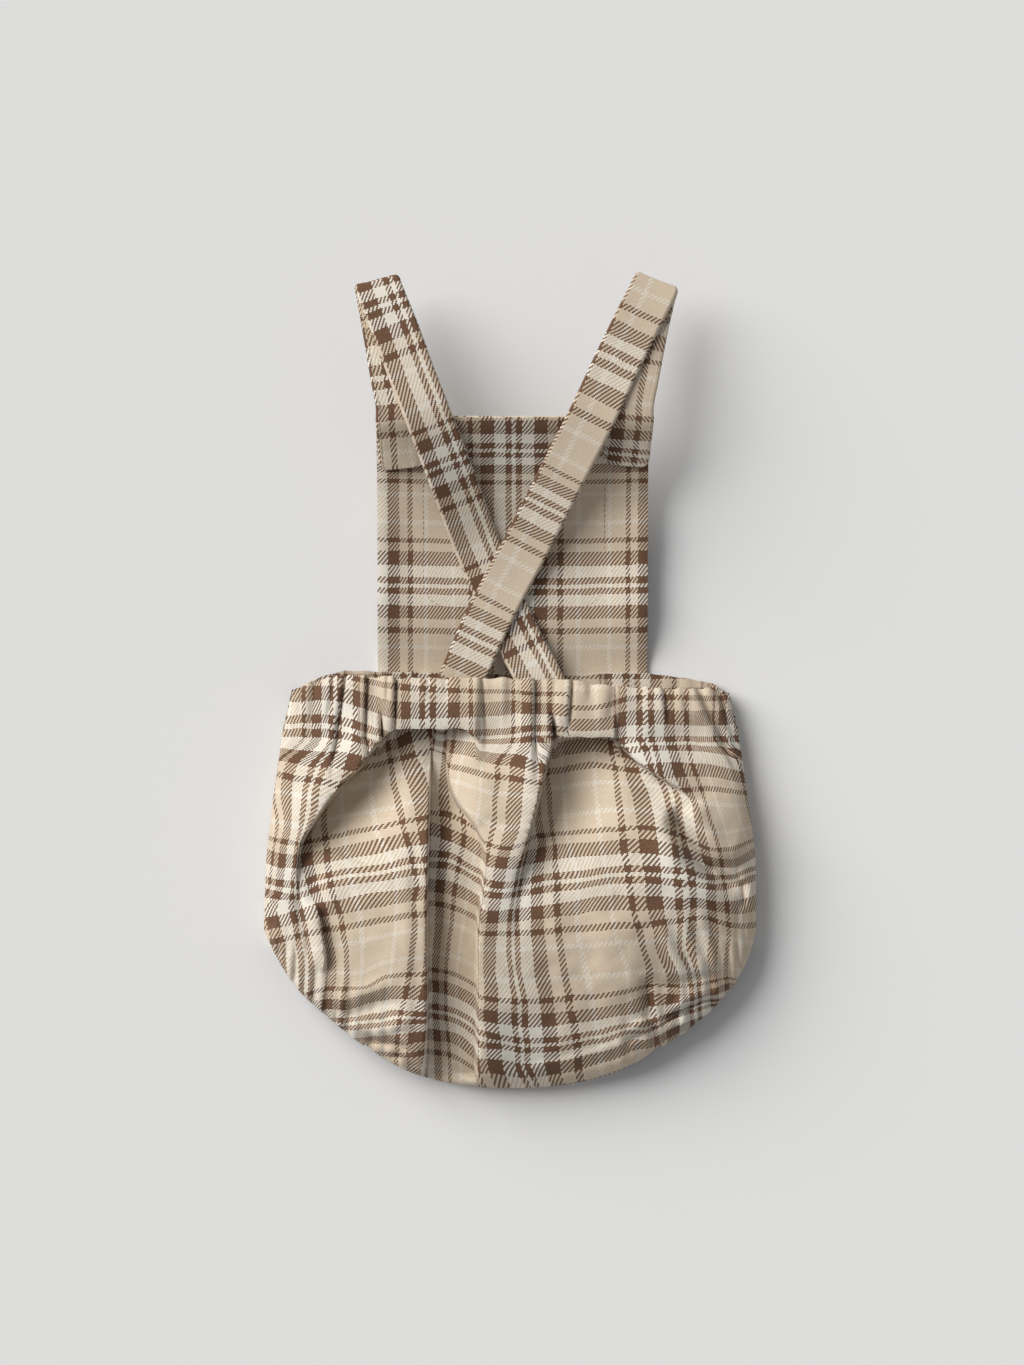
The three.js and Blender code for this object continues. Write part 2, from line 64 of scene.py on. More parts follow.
SEAM = 0.3  # left free between pieces that are sewn together
CLOTH = 1.2  # thickness of the panels, the hems and the back casing
LAYER = 1.0  # thickness of each layer of the bib, and of the pocket
STRAP_WALL = 2.4
CASING_WALL = 2.2  # thickness of the front casing

BIB_WIDTH = 149.0
BIB_CENTRE = 0.3
BIB_BOTTOM = -6.0
BIB_TOP = 145.0
BIB_BEND = 62.0  # where on its way up the bib begins to curl off the surface
BIB_RISE = 34.0  # how high its top curls
BIB_CURL = 1.8  # power of the curl, 1 for a straight slope

POCKET = {"left": -51.0, "right": 53.0, "bottom": 39.0, "top": 111.0, "corner": 14.0}
BUTTON_PLACES = {"left": -60.0, "right": 62.5}
BUTTON_HEIGHT_ON_BIB = 134.0

WAIST_LINE = -31.0  # seam between the back casing and the back panel
WAIST_HEIGHT = 21.5
PUFF_HEIGHT = 46.0
SEAM_HEIGHT = 9.5  # height of both side seams
CROTCH_HEIGHT = 5.0
LEG_HEIGHT_BACK = 12.0  # height of a leg opening's back edge
LEG_HEIGHT_FRONT = 1.4
HEM_WIDTH = 12.0
PUFF_SQUARENESS = 2.4  # cross-section of the back, 2 for an ellipse, more is squarer
HEM_ROUNDING = 2.35  # the same down the back, towards its lower edge
FLOOR_SQUARENESS = 6.0  # cross-section of the front, pressed flat by the surface

# Sides of the bloomers, from the waist down: y, then x on the left and on the right.
SIDES = ((-31, -126.5, 125.0), (-65, -131.5, 130.0), (-98, -135.3, 134.2), (-137, -136.6, 134.4))
# Lower edge of the bloomers, from the left: x and y.
LOWER_EDGE = (
    (-136.6, -137), (-129.0, -153), (-118.0, -169.5), (-100.0, -186), (-79.5, -202),
    (-47.8, -218.5), (0.0, -224.6), (48.3, -218.5), (81.3, -202), (104.2, -186),
    (120.2, -169.5), (129.6, -153), (134.4, -137),
)
# Ends of a leg opening, from 0 in the middle of the bloomers to 1 at their side.
LEG_START = 0.3
LEG_END = 1.0

# Top edges of the waist casings, from the left: x and y.
CASING_TOP_BACK = (
    (-121, -6), (-112, -1.5), (-97, 3), (-80, 2.5), (-60, 1.5), (0, 1.5), (30, 0.5), (50, -2.5),
    (90, -4.5), (108, -4), (120, -8),
)
CASING_TOP_FRONT = (
    (-121, -5), (-105, 3), (-92, 6), (-75, 5.5), (40, 3), (52, 4.5), (75, 4.5), (95, 2),
    (111, -1), (120, -7),
)
CASING_NARROWING = 6.0  # how much a casing's top is drawn in at each side
CASING_BULGE = 2.2  # how far the elastic in the back casing rounds it
CASING_HEM_RISE = 2.6  # how much higher the back casing's lower edge lies than its top
UNDER_CASING = 0.0095  # share of its length the panel runs under the casing per mm lifted

# Strap routes. Start is the end on the bib: x, y and the turn of the strap's width in degrees.
# Route goes on from the bib's top: x, y, z and the turn.
STRAP_ROUTES = {
    "left": {
        "start": (-60.2, 119.0, 6.0),
        "route": (
            (-61.8, 151.5, 41.6, 7), (-64.5, 166.0, 40.8, 9), (-69.0, 192.0, 36.4, 11),
            (-73.0, 214.0, 32.2, 13.5), (-74.2, 219.4, 34.5, 14.5), (-72.4, 214.0, 37.0, 17),
            (-63.6, 192.0, 41.2, 20.5), (-54.0, 166.0, 44.6, 20.5), (-46.2, 146.0, 45.0, 20.6),
            (-36.0, 119.5, 36.0, 20.8), (-27.5, 97.0, 24.0, 21), (-19.5, 75.6, 14.4, 22),
            (-8.2, 49.0, 11.2, 23.5), (3.9, 22.8, 11.4, 25), (14.6, 2.5, 13.6, 27),
            (21.0, -11.0, 14.6, 27),
        ),
    },
    "right": {
        "start": (62.4, 120.5, -5.0),
        "route": (
            (64.8, 151.5, 41.6, -7), (67.5, 166.0, 40.8, -9), (72.5, 192.0, 36.6, -12),
            (77.6, 213.6, 32.6, -18), (79.4, 219.2, 34.9, -21.5), (77.0, 213.6, 37.4, -24),
            (66.6, 193.0, 41.4, -25), (55.0, 169.0, 44.8, -25.5), (44.3, 146.0, 45.2, -26),
            (31.0, 120.0, 37.0, -27), (19.5, 97.5, 26.4, -27.5), (8.3, 75.6, 18.2, -28),
            (-5.0, 51.0, 14.4, -28), (-17.0, 26.5, 14.4, -25), (-26.3, 4.7, 14.8, -24),
            (-33.0, -11.0, 14.8, -24),
        ),
    },
}
STRAP_FOLD_STATION = 8  # the station at which a strap turns over at its top


# ---- the check, mm of cloth

# One repeat of the check: yarn colour and the width of its stripe. It starts at the middle
# of the first wide brown stripe.
STRIPES = (
    ("brown", 3.9), ("cream", 6.7), ("brown", 3.0), ("cream", 2.5), ("brown", 3.0),
    ("cream", 6.8), ("brown", 7.6), ("beige", 5.7), ("brown", 3.0), ("beige", 7.1),
    ("pale", 2.6), ("beige", 14.8), ("pale", 2.6), ("beige", 7.3), ("brown", 3.0),
    ("beige", 4.8), ("brown", 3.9),
)
REPEAT = sum(width for _, width in STRIPES)
PALE_SHARE = 0.65  # how near the finest pale stripes come to cream
# About where the middles of its brown stripes lie, and of its two fine pale ones.
WIDE, PAIR_A, PAIR_B, SECOND, LONE, LAST = 0.0, 12.1, 17.6, 29.7, 40.7, 77.9
CREAM_A, CREAM_B = 50.6, 68.0

# Where stripes of the check lie on the back of the bloomers: the stripe, how many repeats on,
# and places it runs through. The folds part the cloth into zones.
LEFT_FLAP_WARPS = (
    (WIDE, -1, (-124.3, -63.8), (-122.8, -80.7), (-126, -98.5)),
    (PAIR_A, -1, (-107.6, -41.4), (-112.7, -56), (-118.9, -86.9), (-120.5, -105.4),
     (-119.7, -127)),
    (PAIR_B, -1, (-102, -44.8), (-106.9, -56), (-109.7, -68.4), (-114.3, -80.7)),
    (SECOND, -1, (-86.5, -29.8), (-88, -43)),
)
LEFT_FLAP_WEFTS = (
    (PAIR_B, 0, (-113, -28), (-89, -30.5)),
    (SECOND, 0, (-108.9, -43), (-88, -43)),
    (LONE, 0, (-113.5, -53.7), (-102.7, -54.5), (-93.5, -55.3)),
    (LAST, 0, (-132, -86.1), (-121.2, -87.7)),
    (WIDE, 1, (-132.8, -96.2), (-125.9, -98.5), (-119.7, -97.7)),
    (PAIR_A, 1, (-133.6, -109.3), (-121.2, -110.8)),
    (PAIR_B, 1, (-133.6, -115.5), (-121.2, -117.8)),
    (SECOND, 1, (-132.8, -123.9)),
    (LONE, 1, (-135.1, -134.7), (-125.9, -135.5)),
)
LEFT_WARPS = (
    (SECOND, -1, (-112.7, -97.7), (-104.3, -124.7), (-102, -139.4), (-98.9, -154.8)),
    (LONE, -1, (-104, -73), (-101.2, -99.3), (-98.1, -116.2), (-91.9, -139.4),
     (-90.4, -154.8), (-92.7, -176.4)),
    (CREAM_A, -1, (-94.2, -65.3), (-91.2, -90)),
    (CREAM_B, -1, (-78, -62.2), (-74.2, -83.8)),
    (LAST, -1, (-67.2, -46.8), (-61, -74.6), (-56.4, -93.1), (-54.1, -111.6),
     (-54.9, -130.1), (-56.4, -151.7), (-58.7, -170.2), (-62, -186)),
    (WIDE, 0, (-57.2, -43.7), (-52.6, -58), (-50.3, -76.1), (-49.5, -95), (-48.5, -119.3),
     (-48.9, -170.2)),
)
LEFT_WEFTS = (
    (SECOND, 0, (-76.5, -37.5), (-64, -34.5), (-54.9, -29.8)),
    (LONE, 0, (-82.7, -47.6), (-67.2, -43.7), (-48.7, -38.3)),
    (CREAM_A, 0, (-82.7, -57.6), (-65.7, -53.7)),
    (CREAM_B, 0, (-79.6, -72.3), (-61, -68.4)),
    (LAST, 0, (-99.6, -85.4), (-82.7, -81.5), (-61, -76.9), (-48.7, -73.8)),
    (WIDE, 1, (-112.7, -97.7), (-102.7, -96.2), (-90.4, -93.9), (-75, -90.8), (-59.5, -86.9),
     (-48.7, -84.6)),
    (PAIR_A, 1, (-107.3, -107.7), (-90.4, -103.9), (-56.4, -97.7), (-48.7, -96.9)),
    (PAIR_B, 1, (-113.5, -116.2), (-105.8, -113.1), (-82.7, -108.5), (-58, -104.7),
     (-48.7, -103.1)),
    (SECOND, 1, (-104.3, -124.7), (-93.5, -123.2), (-75, -119.3), (-53.4, -115.5),
     (-48.7, -114.7)),
    (LONE, 1, (-95, -134.7), (-82.7, -132.4), (-67.2, -129.3), (-48.7, -126)),
    (LAST, 1, (-113.5, -171.8), (-101.2, -167.9), (-90.4, -167.9), (-79.6, -167.1),
     (-70.3, -161.7), (-58, -159.4), (-46.4, -158.7)),
    (WIDE, 2, (-106.6, -177.9), (-91.9, -177.2), (-79.6, -172.5), (-70.3, -170.2),
     (-58, -169.5), (-48.7, -169.5)),
    (PAIR_A, 2, (-96.5, -185.7), (-82.7, -184.9), (-71.9, -183.3), (-61, -181),
     (-47.2, -181.8)),
    (PAIR_B, 2, (-91.9, -190.3), (-78, -188.7), (-64.1, -186.4), (-48.7, -185.7)),
    (SECOND, 2, (-82.7, -198), (-70.3, -196.5), (-59.5, -195.7), (-48.7, -193.4)),
    (LONE, 2, (-75, -204.2), (-59.5, -204.9), (-48.7, -202.6)),
)
TROUGH_WARPS = (
    (SECOND, 0, (-35, -34), (-37.9, -62.2), (-36.4, -83.8), (-39.5, -111.6), (-40.2, -134.7),
     (-41.8, -170.2), (-41.3, -196.5)),
    (LONE, 0, (-26.3, -83.8), (-30.2, -105.4), (-32.5, -127), (-34.5, -142.5), (-36.4, -165.6),
     (-36.4, -181)),
)
TROUGH_WEFTS = (
    (SECOND, 0, (-34, -34.5), (-41, -35)),
    (LONE, 0, (-42.6, -37.5)),
    (LAST, 0, (-42.6, -73), (-36.4, -72.3), (-33.3, -73.8)),
    (WIDE, 1, (-44, -80.7), (-36.4, -83.8), (-28.7, -86.9), (-21, -90)),
    (PAIR_A, 1, (-44, -94.6), (-33.3, -95.4), (-24, -101.6)),
    (PAIR_B, 1, (-44, -100.8), (-36.4, -100.8), (-25.6, -104.7)),
    (SECOND, 1, (-39.5, -112.4), (-30.2, -114.7), (-21, -119.3)),
    (LONE, 1, (-44, -121.6), (-33.3, -123.2), (-22.5, -127.8)),
    (LAST, 1, (-44, -157.9), (-33.3, -159.4), (-24, -164.1)),
    (WIDE, 2, (-42.6, -167.1), (-33.3, -168.7), (-24, -173.3)),
    (PAIR_A, 2, (-42.6, -178.7), (-33.3, -180.3), (-24, -184.9)),
    (PAIR_B, 2, (-42.6, -184.1), (-33.3, -185.7), (-22.5, -191.8)),
    (SECOND, 2, (-41, -194.9), (-30.2, -196.5), (-21, -204.2)),
    (LONE, 2, (-42.6, -204.2), (-33.3, -205.7), (-22.5, -211.9)),
)
CENTRE_WARPS = (
    (LONE, 0, (-31.8, -37), (-34, -46), (-35.5, -54.5)),
    (CREAM_B, 0, (-17, -50), (-17.5, -65)),
    (LAST, 0, (-8.6, -36), (-8.6, -53), (-10.1, -65.3), (-10.9, -80.7), (-13.2, -96.2),
     (-17, -118)),
    (WIDE, 1, (3.5, -42.5), (2.3, -60), (0.5, -80), (-4.8, -95.5), (-10.1, -128.6)),
    (PAIR_A, 1, (10.4, -77.6), (7.7, -88.4), (4.1, -99.1), (1.4, -113.4),
     (-1.3, -127.7)),
    (PAIR_B, 1, (5, -113.4), (2.3, -127.7)),
)
CENTRE_WEFTS = (
    (SECOND, 0, (-31.8, -36), (-21, -37.5), (-8.6, -42.2), (3.6, -43.7), (13.6, -47.6)),
    (LONE, 0, (-36.4, -46), (-22.5, -49.1), (-8.6, -52.2), (5.9, -53.8), (16.7, -55.3)),
    (CREAM_A, 0, (-16.3, -59.9)),
    (LAST, 0, (-27, -75.3), (-14.8, -86.9), (-2.4, -90.8), (9, -86.9)),
    (WIDE, 1, (-16.3, -94.6), (-4, -98.5), (6, -96.5)),
    (PAIR_A, 1, (-16.3, -108.5), (-5, -111), (5, -109.5)),
    (SECOND, 1, (-11.7, -128.6), (0, -127.5)),
)
RIGHT_WARPS = (
    (LAST, 0, (-17, -120), (-19.4, -142.5), (-18.6, -157.9), (-19, -196), (-18, -215)),
    (WIDE, 1, (-10.1, -128.6), (-12.5, -157.9), (-11.7, -182.6), (-9.4, -210.3)),
    (PAIR_A, 1, (-1.3, -127.7), (-0.4, -158), (1.4, -174), (3.2, -203), (7.7, -220.7)),
    (PAIR_B, 1, (2.3, -127.7), (3.2, -158), (6.8, -185), (8.6, -212)),
    (SECOND, 1, (16.6, -88.4), (14, -102.7), (13.6, -126.3), (15.2, -150.2),
     (19.8, -185.7), (22.9, -216.5)),
    (LONE, 1, (19, -49.9), (20.6, -65.3), (22.1, -83.8), (23.6, -99.3), (24.4, -124),
     (26, -142.5), (29, -161), (31.4, -176.4), (36, -201.1), (36.8, -215.8)),
    (CREAM_A, 1, (29, -65.3), (36, -107), (36.8, -142.5), (42.2, -165.6)),
    (CREAM_B, 1, (46, -57.6), (47.6, -74.6), (50.6, -99.3), (53.7, -119.3),
     (56.8, -139.4), (63, -159.4)),
    (LAST, 1, (56.8, -49.9), (58.4, -68.4), (59.9, -88.5), (63, -108.5), (65.3, -124),
     (68.4, -136.3), (72.2, -150.2), (73.8, -165.6), (75.3, -173.3), (79.2, -200.3)),
    (WIDE, 2, (66, -49.9), (71.5, -65.3), (75.3, -88.5), (77.6, -105.4), (78.4, -120.9),
     (81.5, -136.3), (86.1, -154.8), (89.2, -162.5)),
    (PAIR_A, 2, (84.6, -62.2), (88.4, -88.5), (90, -108.5), (90.8, -122.4),
     (91.5, -148.6), (96.9, -162.5)),
    (PAIR_B, 2, (97.7, -110), (98.5, -122.4), (98.5, -150.2), (102.3, -162.5)),
    (SECOND, 2, (108.7, -122.4), (108, -148), (110.8, -170.2)),
    (LONE, 2, (117.5, -122.4), (117, -161)),
)
RIGHT_WEFTS = (
    (SECOND, 0, (26, -37.5), (38.3, -35.2), (50.6, -35.2), (58.4, -37.5)),
    (LONE, 0, (24.4, -49.1), (33.7, -47.6), (46, -46), (56.8, -47.6), (69.2, -49.1)),
    (CREAM_A, 0, (30.6, -58.4), (46, -56.1)),
    (CREAM_B, 0, (27.5, -74.6), (53.7, -70.7)),
    (LAST, 0, (15.2, -84.6), (30.6, -83.1), (46, -81.5), (58.4, -80.8), (76.9, -80)),
    (WIDE, 1, (13.6, -95.4), (30.6, -92.3), (59.9, -90), (73.8, -90), (95.4, -94.6)),
    (PAIR_A, 1, (15.2, -107.8), (38.3, -105.4), (61.4, -102.4), (76.9, -102.4),
     (92.3, -103.1), (100, -104.7)),
    (PAIR_B, 1, (16.7, -113.9), (38.3, -111.6), (61.4, -108.5), (76.9, -108.5),
     (92.3, -110.1), (104.6, -111.6)),
    (SECOND, 1, (-11.7, -128.6), (13.6, -126.3), (25.2, -124.7), (46, -120.9),
     (64.5, -120.9), (78.4, -120.9), (90.8, -121.6), (108.5, -122.4), (123.2, -124)),
    (LONE, 1, (-13.2, -137.1), (2.8, -137.1), (24.4, -135.5), (46, -134),
     (67.6, -133.2), (86.1, -130.9), (107.7, -129.4), (123.2, -134)),
    (CREAM_A, 1, (30.6, -144.8), (58.4, -142.5)),
    (CREAM_B, 1, (30.6, -161.8), (61.4, -159.5)),
    (LAST, 1, (-17.9, -171.8), (7.4, -174.1), (30.6, -172.6), (53.7, -170.3),
     (73.8, -166.4), (86.1, -166.4), (98.5, -166.4), (113.9, -163.3), (124.7, -164.1)),
    (WIDE, 2, (-13.2, -182.6), (7.4, -184.9), (19.8, -184.9), (46, -181.8), (66.1, -178),
     (75.3, -173.3), (87.7, -174.1), (100, -172.6), (110.8, -170.3), (121.6, -167.2)),
    (PAIR_A, 2, (-16.3, -191.8), (7.4, -196.5), (30.6, -194.9), (53.7, -190.3),
     (73.8, -187.2), (83, -184.1), (95.4, -179.5), (107.7, -175.6)),
    (PAIR_B, 2, (-14.8, -198.8), (7.4, -201.9), (30.6, -200.3), (53.7, -195.7),
     (73.8, -191.9)),
    (SECOND, 2, (-10.1, -210.3), (7.4, -213.2), (22.9, -211.9), (46, -206.5),
     (66.1, -198.8), (86.1, -193)),
    (LONE, 2, (-10, -226), (14, -226), (46, -220), (66.1, -212.5), (86.1, -203)),
)
RIGHT_FLAP_WARPS = (
    (PAIR_A, 2, (71, -31), (77, -46), (84.6, -62.2)),
    (PAIR_B, 2, (77.6, -34.5), (91, -66)),
    (SECOND, 2, (88, -33), (90.8, -48.4), (101.5, -78), (107.7, -97.7),
     (108.7, -122.4)),
    (LONE, 2, (99, -45), (104.6, -62.2), (107.5, -74.6), (117.5, -122.4)),
    (CREAM_A, 2, (115, -74.6)),
    (CREAM_B, 2, (124.5, -74.6)),
)
RIGHT_FLAP_WEFTS = (
    (PAIR_A, 0, (73.8, -32), (97.6, -31.6)),
    (PAIR_B, 0, (72.2, -36.8), (86, -36), (107.7, -37.5)),
    (SECOND, 0, (76.9, -47.6), (90.8, -48.4), (113.9, -49.9), (126.3, -53)),
    (LONE, 0, (95.4, -59.2), (107.7, -58.8), (119, -60)),
    (LAST, 0, (95.4, -86.9), (107.7, -90.8), (117, -91.5), (127.8, -88.5)),
    (WIDE, 1, (95.4, -94.6), (107.7, -97.7), (123.2, -99.3), (132.4, -94.6)),
    (PAIR_A, 1, (107.7, -107.8), (117, -107), (127.8, -103.9)),
    (PAIR_B, 1, (104.6, -111.6), (115.5, -113), (126, -110.5)),
    (SECOND, 1, (108.5, -122.4), (123.2, -124)),
    (LONE, 1, (107.7, -129.4), (123.2, -134)),
    (LAST, 1, (113.9, -163.3), (124.7, -164.1)),
)

# Bib: places of its stripes across (x) and down (y) it.
BIB_WARPS = (
    (-74.2, SECOND - REPEAT - 9.0), (-65.2, SECOND - REPEAT), (-56.4, LONE - REPEAT),
    (-47.6, CREAM_A - REPEAT), (-32.7, CREAM_B - REPEAT), (-23.4, LAST - REPEAT), (-13.5, 0.0),
    (-2.1, PAIR_A), (3.5, PAIR_B), (15.7, SECOND), (26.7, LONE), (36.8, CREAM_A),
    (53.6, CREAM_B), (63.7, LAST), (73, REPEAT), (76, REPEAT + 3.0),
)
BIB_WEFTS = (
    (146, -5.5), (140, 0.0), (130.6, PAIR_A), (125.3, PAIR_B), (117.7, SECOND), (110.8, LONE),
    (103.4, CREAM_A), (88, CREAM_B), (78.4, LAST), (68.3, REPEAT), (55.6, REPEAT + PAIR_A),
    (49.8, REPEAT + PAIR_B), (37.9, REPEAT + SECOND), (28.3, REPEAT + LONE),
    (18.6, REPEAT + CREAM_A), (3.6, REPEAT + CREAM_B), (-6, REPEAT + LAST),
)

# Waist casing: places of its stripes across it, gathers and pleats taken into account.
CASING_WARPS = (
    (-130, -118), (-107, -REPEAT), (-99.8, PAIR_A - REPEAT), (-94.9, PAIR_B - REPEAT),
    (-84.4, SECOND - REPEAT), (-81.1, LONE - REPEAT), (-72.9, -33), (-66.8, -14),
    (-58.6, 0), (-49.8, PAIR_A), (-43.7, PAIR_B), (-31.8, SECOND), (-22.3, LONE),
    (-12.4, 58), (0.2, LAST), (8.5, REPEAT), (11.8, 94), (14, SECOND + REPEAT),
    (20.1, LONE + REPEAT), (30.5, 139), (33.0, 143.5), (46.5, 156.3), (55.8, 165),
    (58.6, 173), (59.7, 2 * REPEAT), (69.6, PAIR_A + 2 * REPEAT), (76.7, PAIR_B + 2 * REPEAT),
    (86.1, SECOND + 2 * REPEAT), (97.6, 219), (102, 236), (109.7, 252), (115.8, 3 * REPEAT),
    (125.1, 280),
)
CASING_WEFTS_LEFT = (
    (LAST, -1, (-82, 1), (-60, -2.5), (-30, -4.5), (-3.5, -5.2), (13, -6.5), (29, -6.5)),
    (WIDE, 0, (-120, -7), (-101, -6), (-84, -9), (-66, -15), (-32, -15.3), (0, -13.5),
     (20, -14.5), (29, -15.5)),
    (PAIR_A, 0, (-112.7, -20), (-87.5, -23), (-76.5, -27), (-3.5, -27.4), (28, -26)),
    (PAIR_B, 0, (-112.7, -28), (-89, -30.5), (-3.5, -32.7), (28, -31.5)),
)
CASING_WEFTS_RIGHT = (
    (LAST, -1, (34, -14), (42.4, -14), (52, -12.5), (64, -9), (97.6, -8.3)),
    (WIDE, 0, (34, -23.5), (52, -23), (60, -20.5), (69, -19.5), (100, -20), (116, -19.5)),
    (PAIR_A, 0, (34, -33.5), (52, -33), (73.8, -32), (97.6, -31.6)),
    (PAIR_B, 0, (34, -39), (72.2, -36.8), (97.6, -37)),
)
CASING_PLEAT = (30.4, 32.2)  # across the waist, where the casing's check steps

# Straps: the cloth's coordinate at a strap's left edge and the places of its bands (y).
STRAP_CLOTH = {
    "left": {
        "upper_edge": -5.5, "lower_edge": 32.0,
        "upper": (
            (219, 0.0), (208.7, PAIR_A), (202.8, PAIR_B), (191.4, SECOND), (179.9, LONE),
            (139.2, LAST), (132.1, REPEAT), (121.6, PAIR_A + REPEAT), (117, PAIR_B + REPEAT),
            (107.3, SECOND + REPEAT), (98.5, LONE + REPEAT), (66.6, LAST + REPEAT),
            (57.8, 2 * REPEAT), (18.9, LONE + 2 * REPEAT), (-12, LONE + 2 * REPEAT + 33),
        ),
        "lower": (
            (119, 58.0), (136.5, LONE), (146.8, SECOND), (163, PAIR_B), (171, PAIR_A),
            (192, 0.0), (201, LAST - REPEAT), (222, -31.0),
        ),
    },
    "right": {
        "upper_edge": 40.9, "lower_edge": 23.7,
        "upper": (
            (222, -32.0), (201.4, LAST - REPEAT), (188.3, 0.0), (178.5, PAIR_A),
            (170.4, PAIR_B), (157.4, SECOND), (143.7, LONE), (134, CREAM_A),
            (120.4, CREAM_B), (114.2, LAST), (106.8, REPEAT), (98.9, PAIR_A + REPEAT),
            (93.5, PAIR_B + REPEAT), (82.7, SECOND + REPEAT), (74.9, LONE + REPEAT),
            (65, CREAM_A + REPEAT), (51.8, CREAM_B + REPEAT), (43.4, LAST + REPEAT),
            (34.6, 2 * REPEAT), (25.8, PAIR_A + 2 * REPEAT), (19.4, PAIR_B + 2 * REPEAT),
            (8.1, SECOND + 2 * REPEAT), (-12, SECOND + 2 * REPEAT + 22),
        ),
        "lower": (
            (119, 8.0), (122.3, PAIR_A), (127, PAIR_B), (135.5, SECOND), (144, LONE),
            (174.7, LAST), (186, REPEAT), (200, PAIR_A + REPEAT), (205.6, PAIR_B + REPEAT),
            (222, 122.0),
        ),
    },
}


# ---- folds, laid one by one, mm

# Folds where the cloth of the back rolls over at an edge above a hollow. Each edge is laid
# from the top down; hand says on which side the hollow lies, 1 for the right. Roll is the
# radius of the turned edge, over how far it leans out as a share of that; lip and floor are
# heights beside it, and how far they fade.
ROLLS = {
    "long pleat": {
        "at": ((-43.4, -22), (-44.4, -36), (-45.2, -60), (-46.2, -95), (-46.5, -140),
               (-46.3, -190), (-47.2, -212), (-49, -226)),
        "hand": 1, "roll": 4.0, "over": 0.75, "lip": 5.6, "lip_soft": 17, "floor": -14.5,
        "floor_soft": 17, "fades": (0.0, 0.0)},
    "middle ridge": {
        "at": ((-37, -22), (-37.5, -38), (-36.5, -52), (-33.4, -63), (-26.5, -73),
               (-19.8, -82), (-16.2, -95), (-17.5, -115), (-20, -135), (-19.8, -158),
               (-20.3, -185), (-21, -222)),
        "hand": -1, "roll": 4.0, "over": 0.2, "lip": 4.2, "lip_soft": 20, "floor": -13.0,
        "floor_soft": 18, "fades": (0.0, 0.03)},
    "centre crease": {
        "at": ((23, -20), (22.5, -34.5), (19.8, -46.8), (16.7, -59.2), (14.4, -68.4),
               (10.5, -83.8), (7.4, -96.2), (4.5, -108.5), (1, -127)),
        "hand": 1, "roll": 3.6, "over": 0.5, "lip": 6.8, "lip_soft": 15, "floor": -21.0,
        "floor_soft": 32, "fades": (0.0, 0.65)},
    "left flap": {
        "at": ((-60, -20), (-65.7, -26.6), (-74.5, -34.7), (-83, -46.5), (-93.4, -57),
               (-101.4, -66.9), (-108.6, -77.6), (-114.9, -88.4), (-116.6, -99.1),
               (-116, -113), (-113, -124)),
        "hand": 1, "roll": 3.4, "over": 0.8, "lip": 6.2, "lip_soft": 15, "floor": -21.0,
        "floor_soft": 30, "fades": (0.0, 0.45)},
    "right flap": {
        "at": ((46, -20), (58, -33), (66, -42), (76.9, -49.9), (86.1, -56), (93.8, -62.2),
               (100, -70)),
        "hand": -1, "roll": 3.0, "over": 0.6, "lip": 4.4, "lip_soft": 13, "floor": -7.5,
        "floor_soft": 18, "fades": (0.0, 0.35)},
    "left finger": {
        "at": ((-106, -120), (-104.5, -131), (-102.7, -142.5), (-101.8, -151.7),
               (-102.4, -164)),
        "hand": 1, "roll": 2.6, "over": 0.5, "lip": 3.6, "lip_soft": 5.5, "floor": -5.0,
        "floor_soft": 10, "fades": (0.25, 0.25)},
}
ROLL_EDGE = 1.2  # how far beside its line a fold turns, as a share of its roll
ROLL_STARTS = 0.35  # where the cloth turns down, as a share of its roll
ROLL_ENDS = 1.1
FOLD_REACH = 0.45  # power of the puff's height by which folds fade at its rim
BED = 9.0  # folds sink no nearer to the surface than this
BED_SOFT = 2.5  # how softly they reach it
BED_AT_RIM = 6.0  # how far below the rim they may sink there

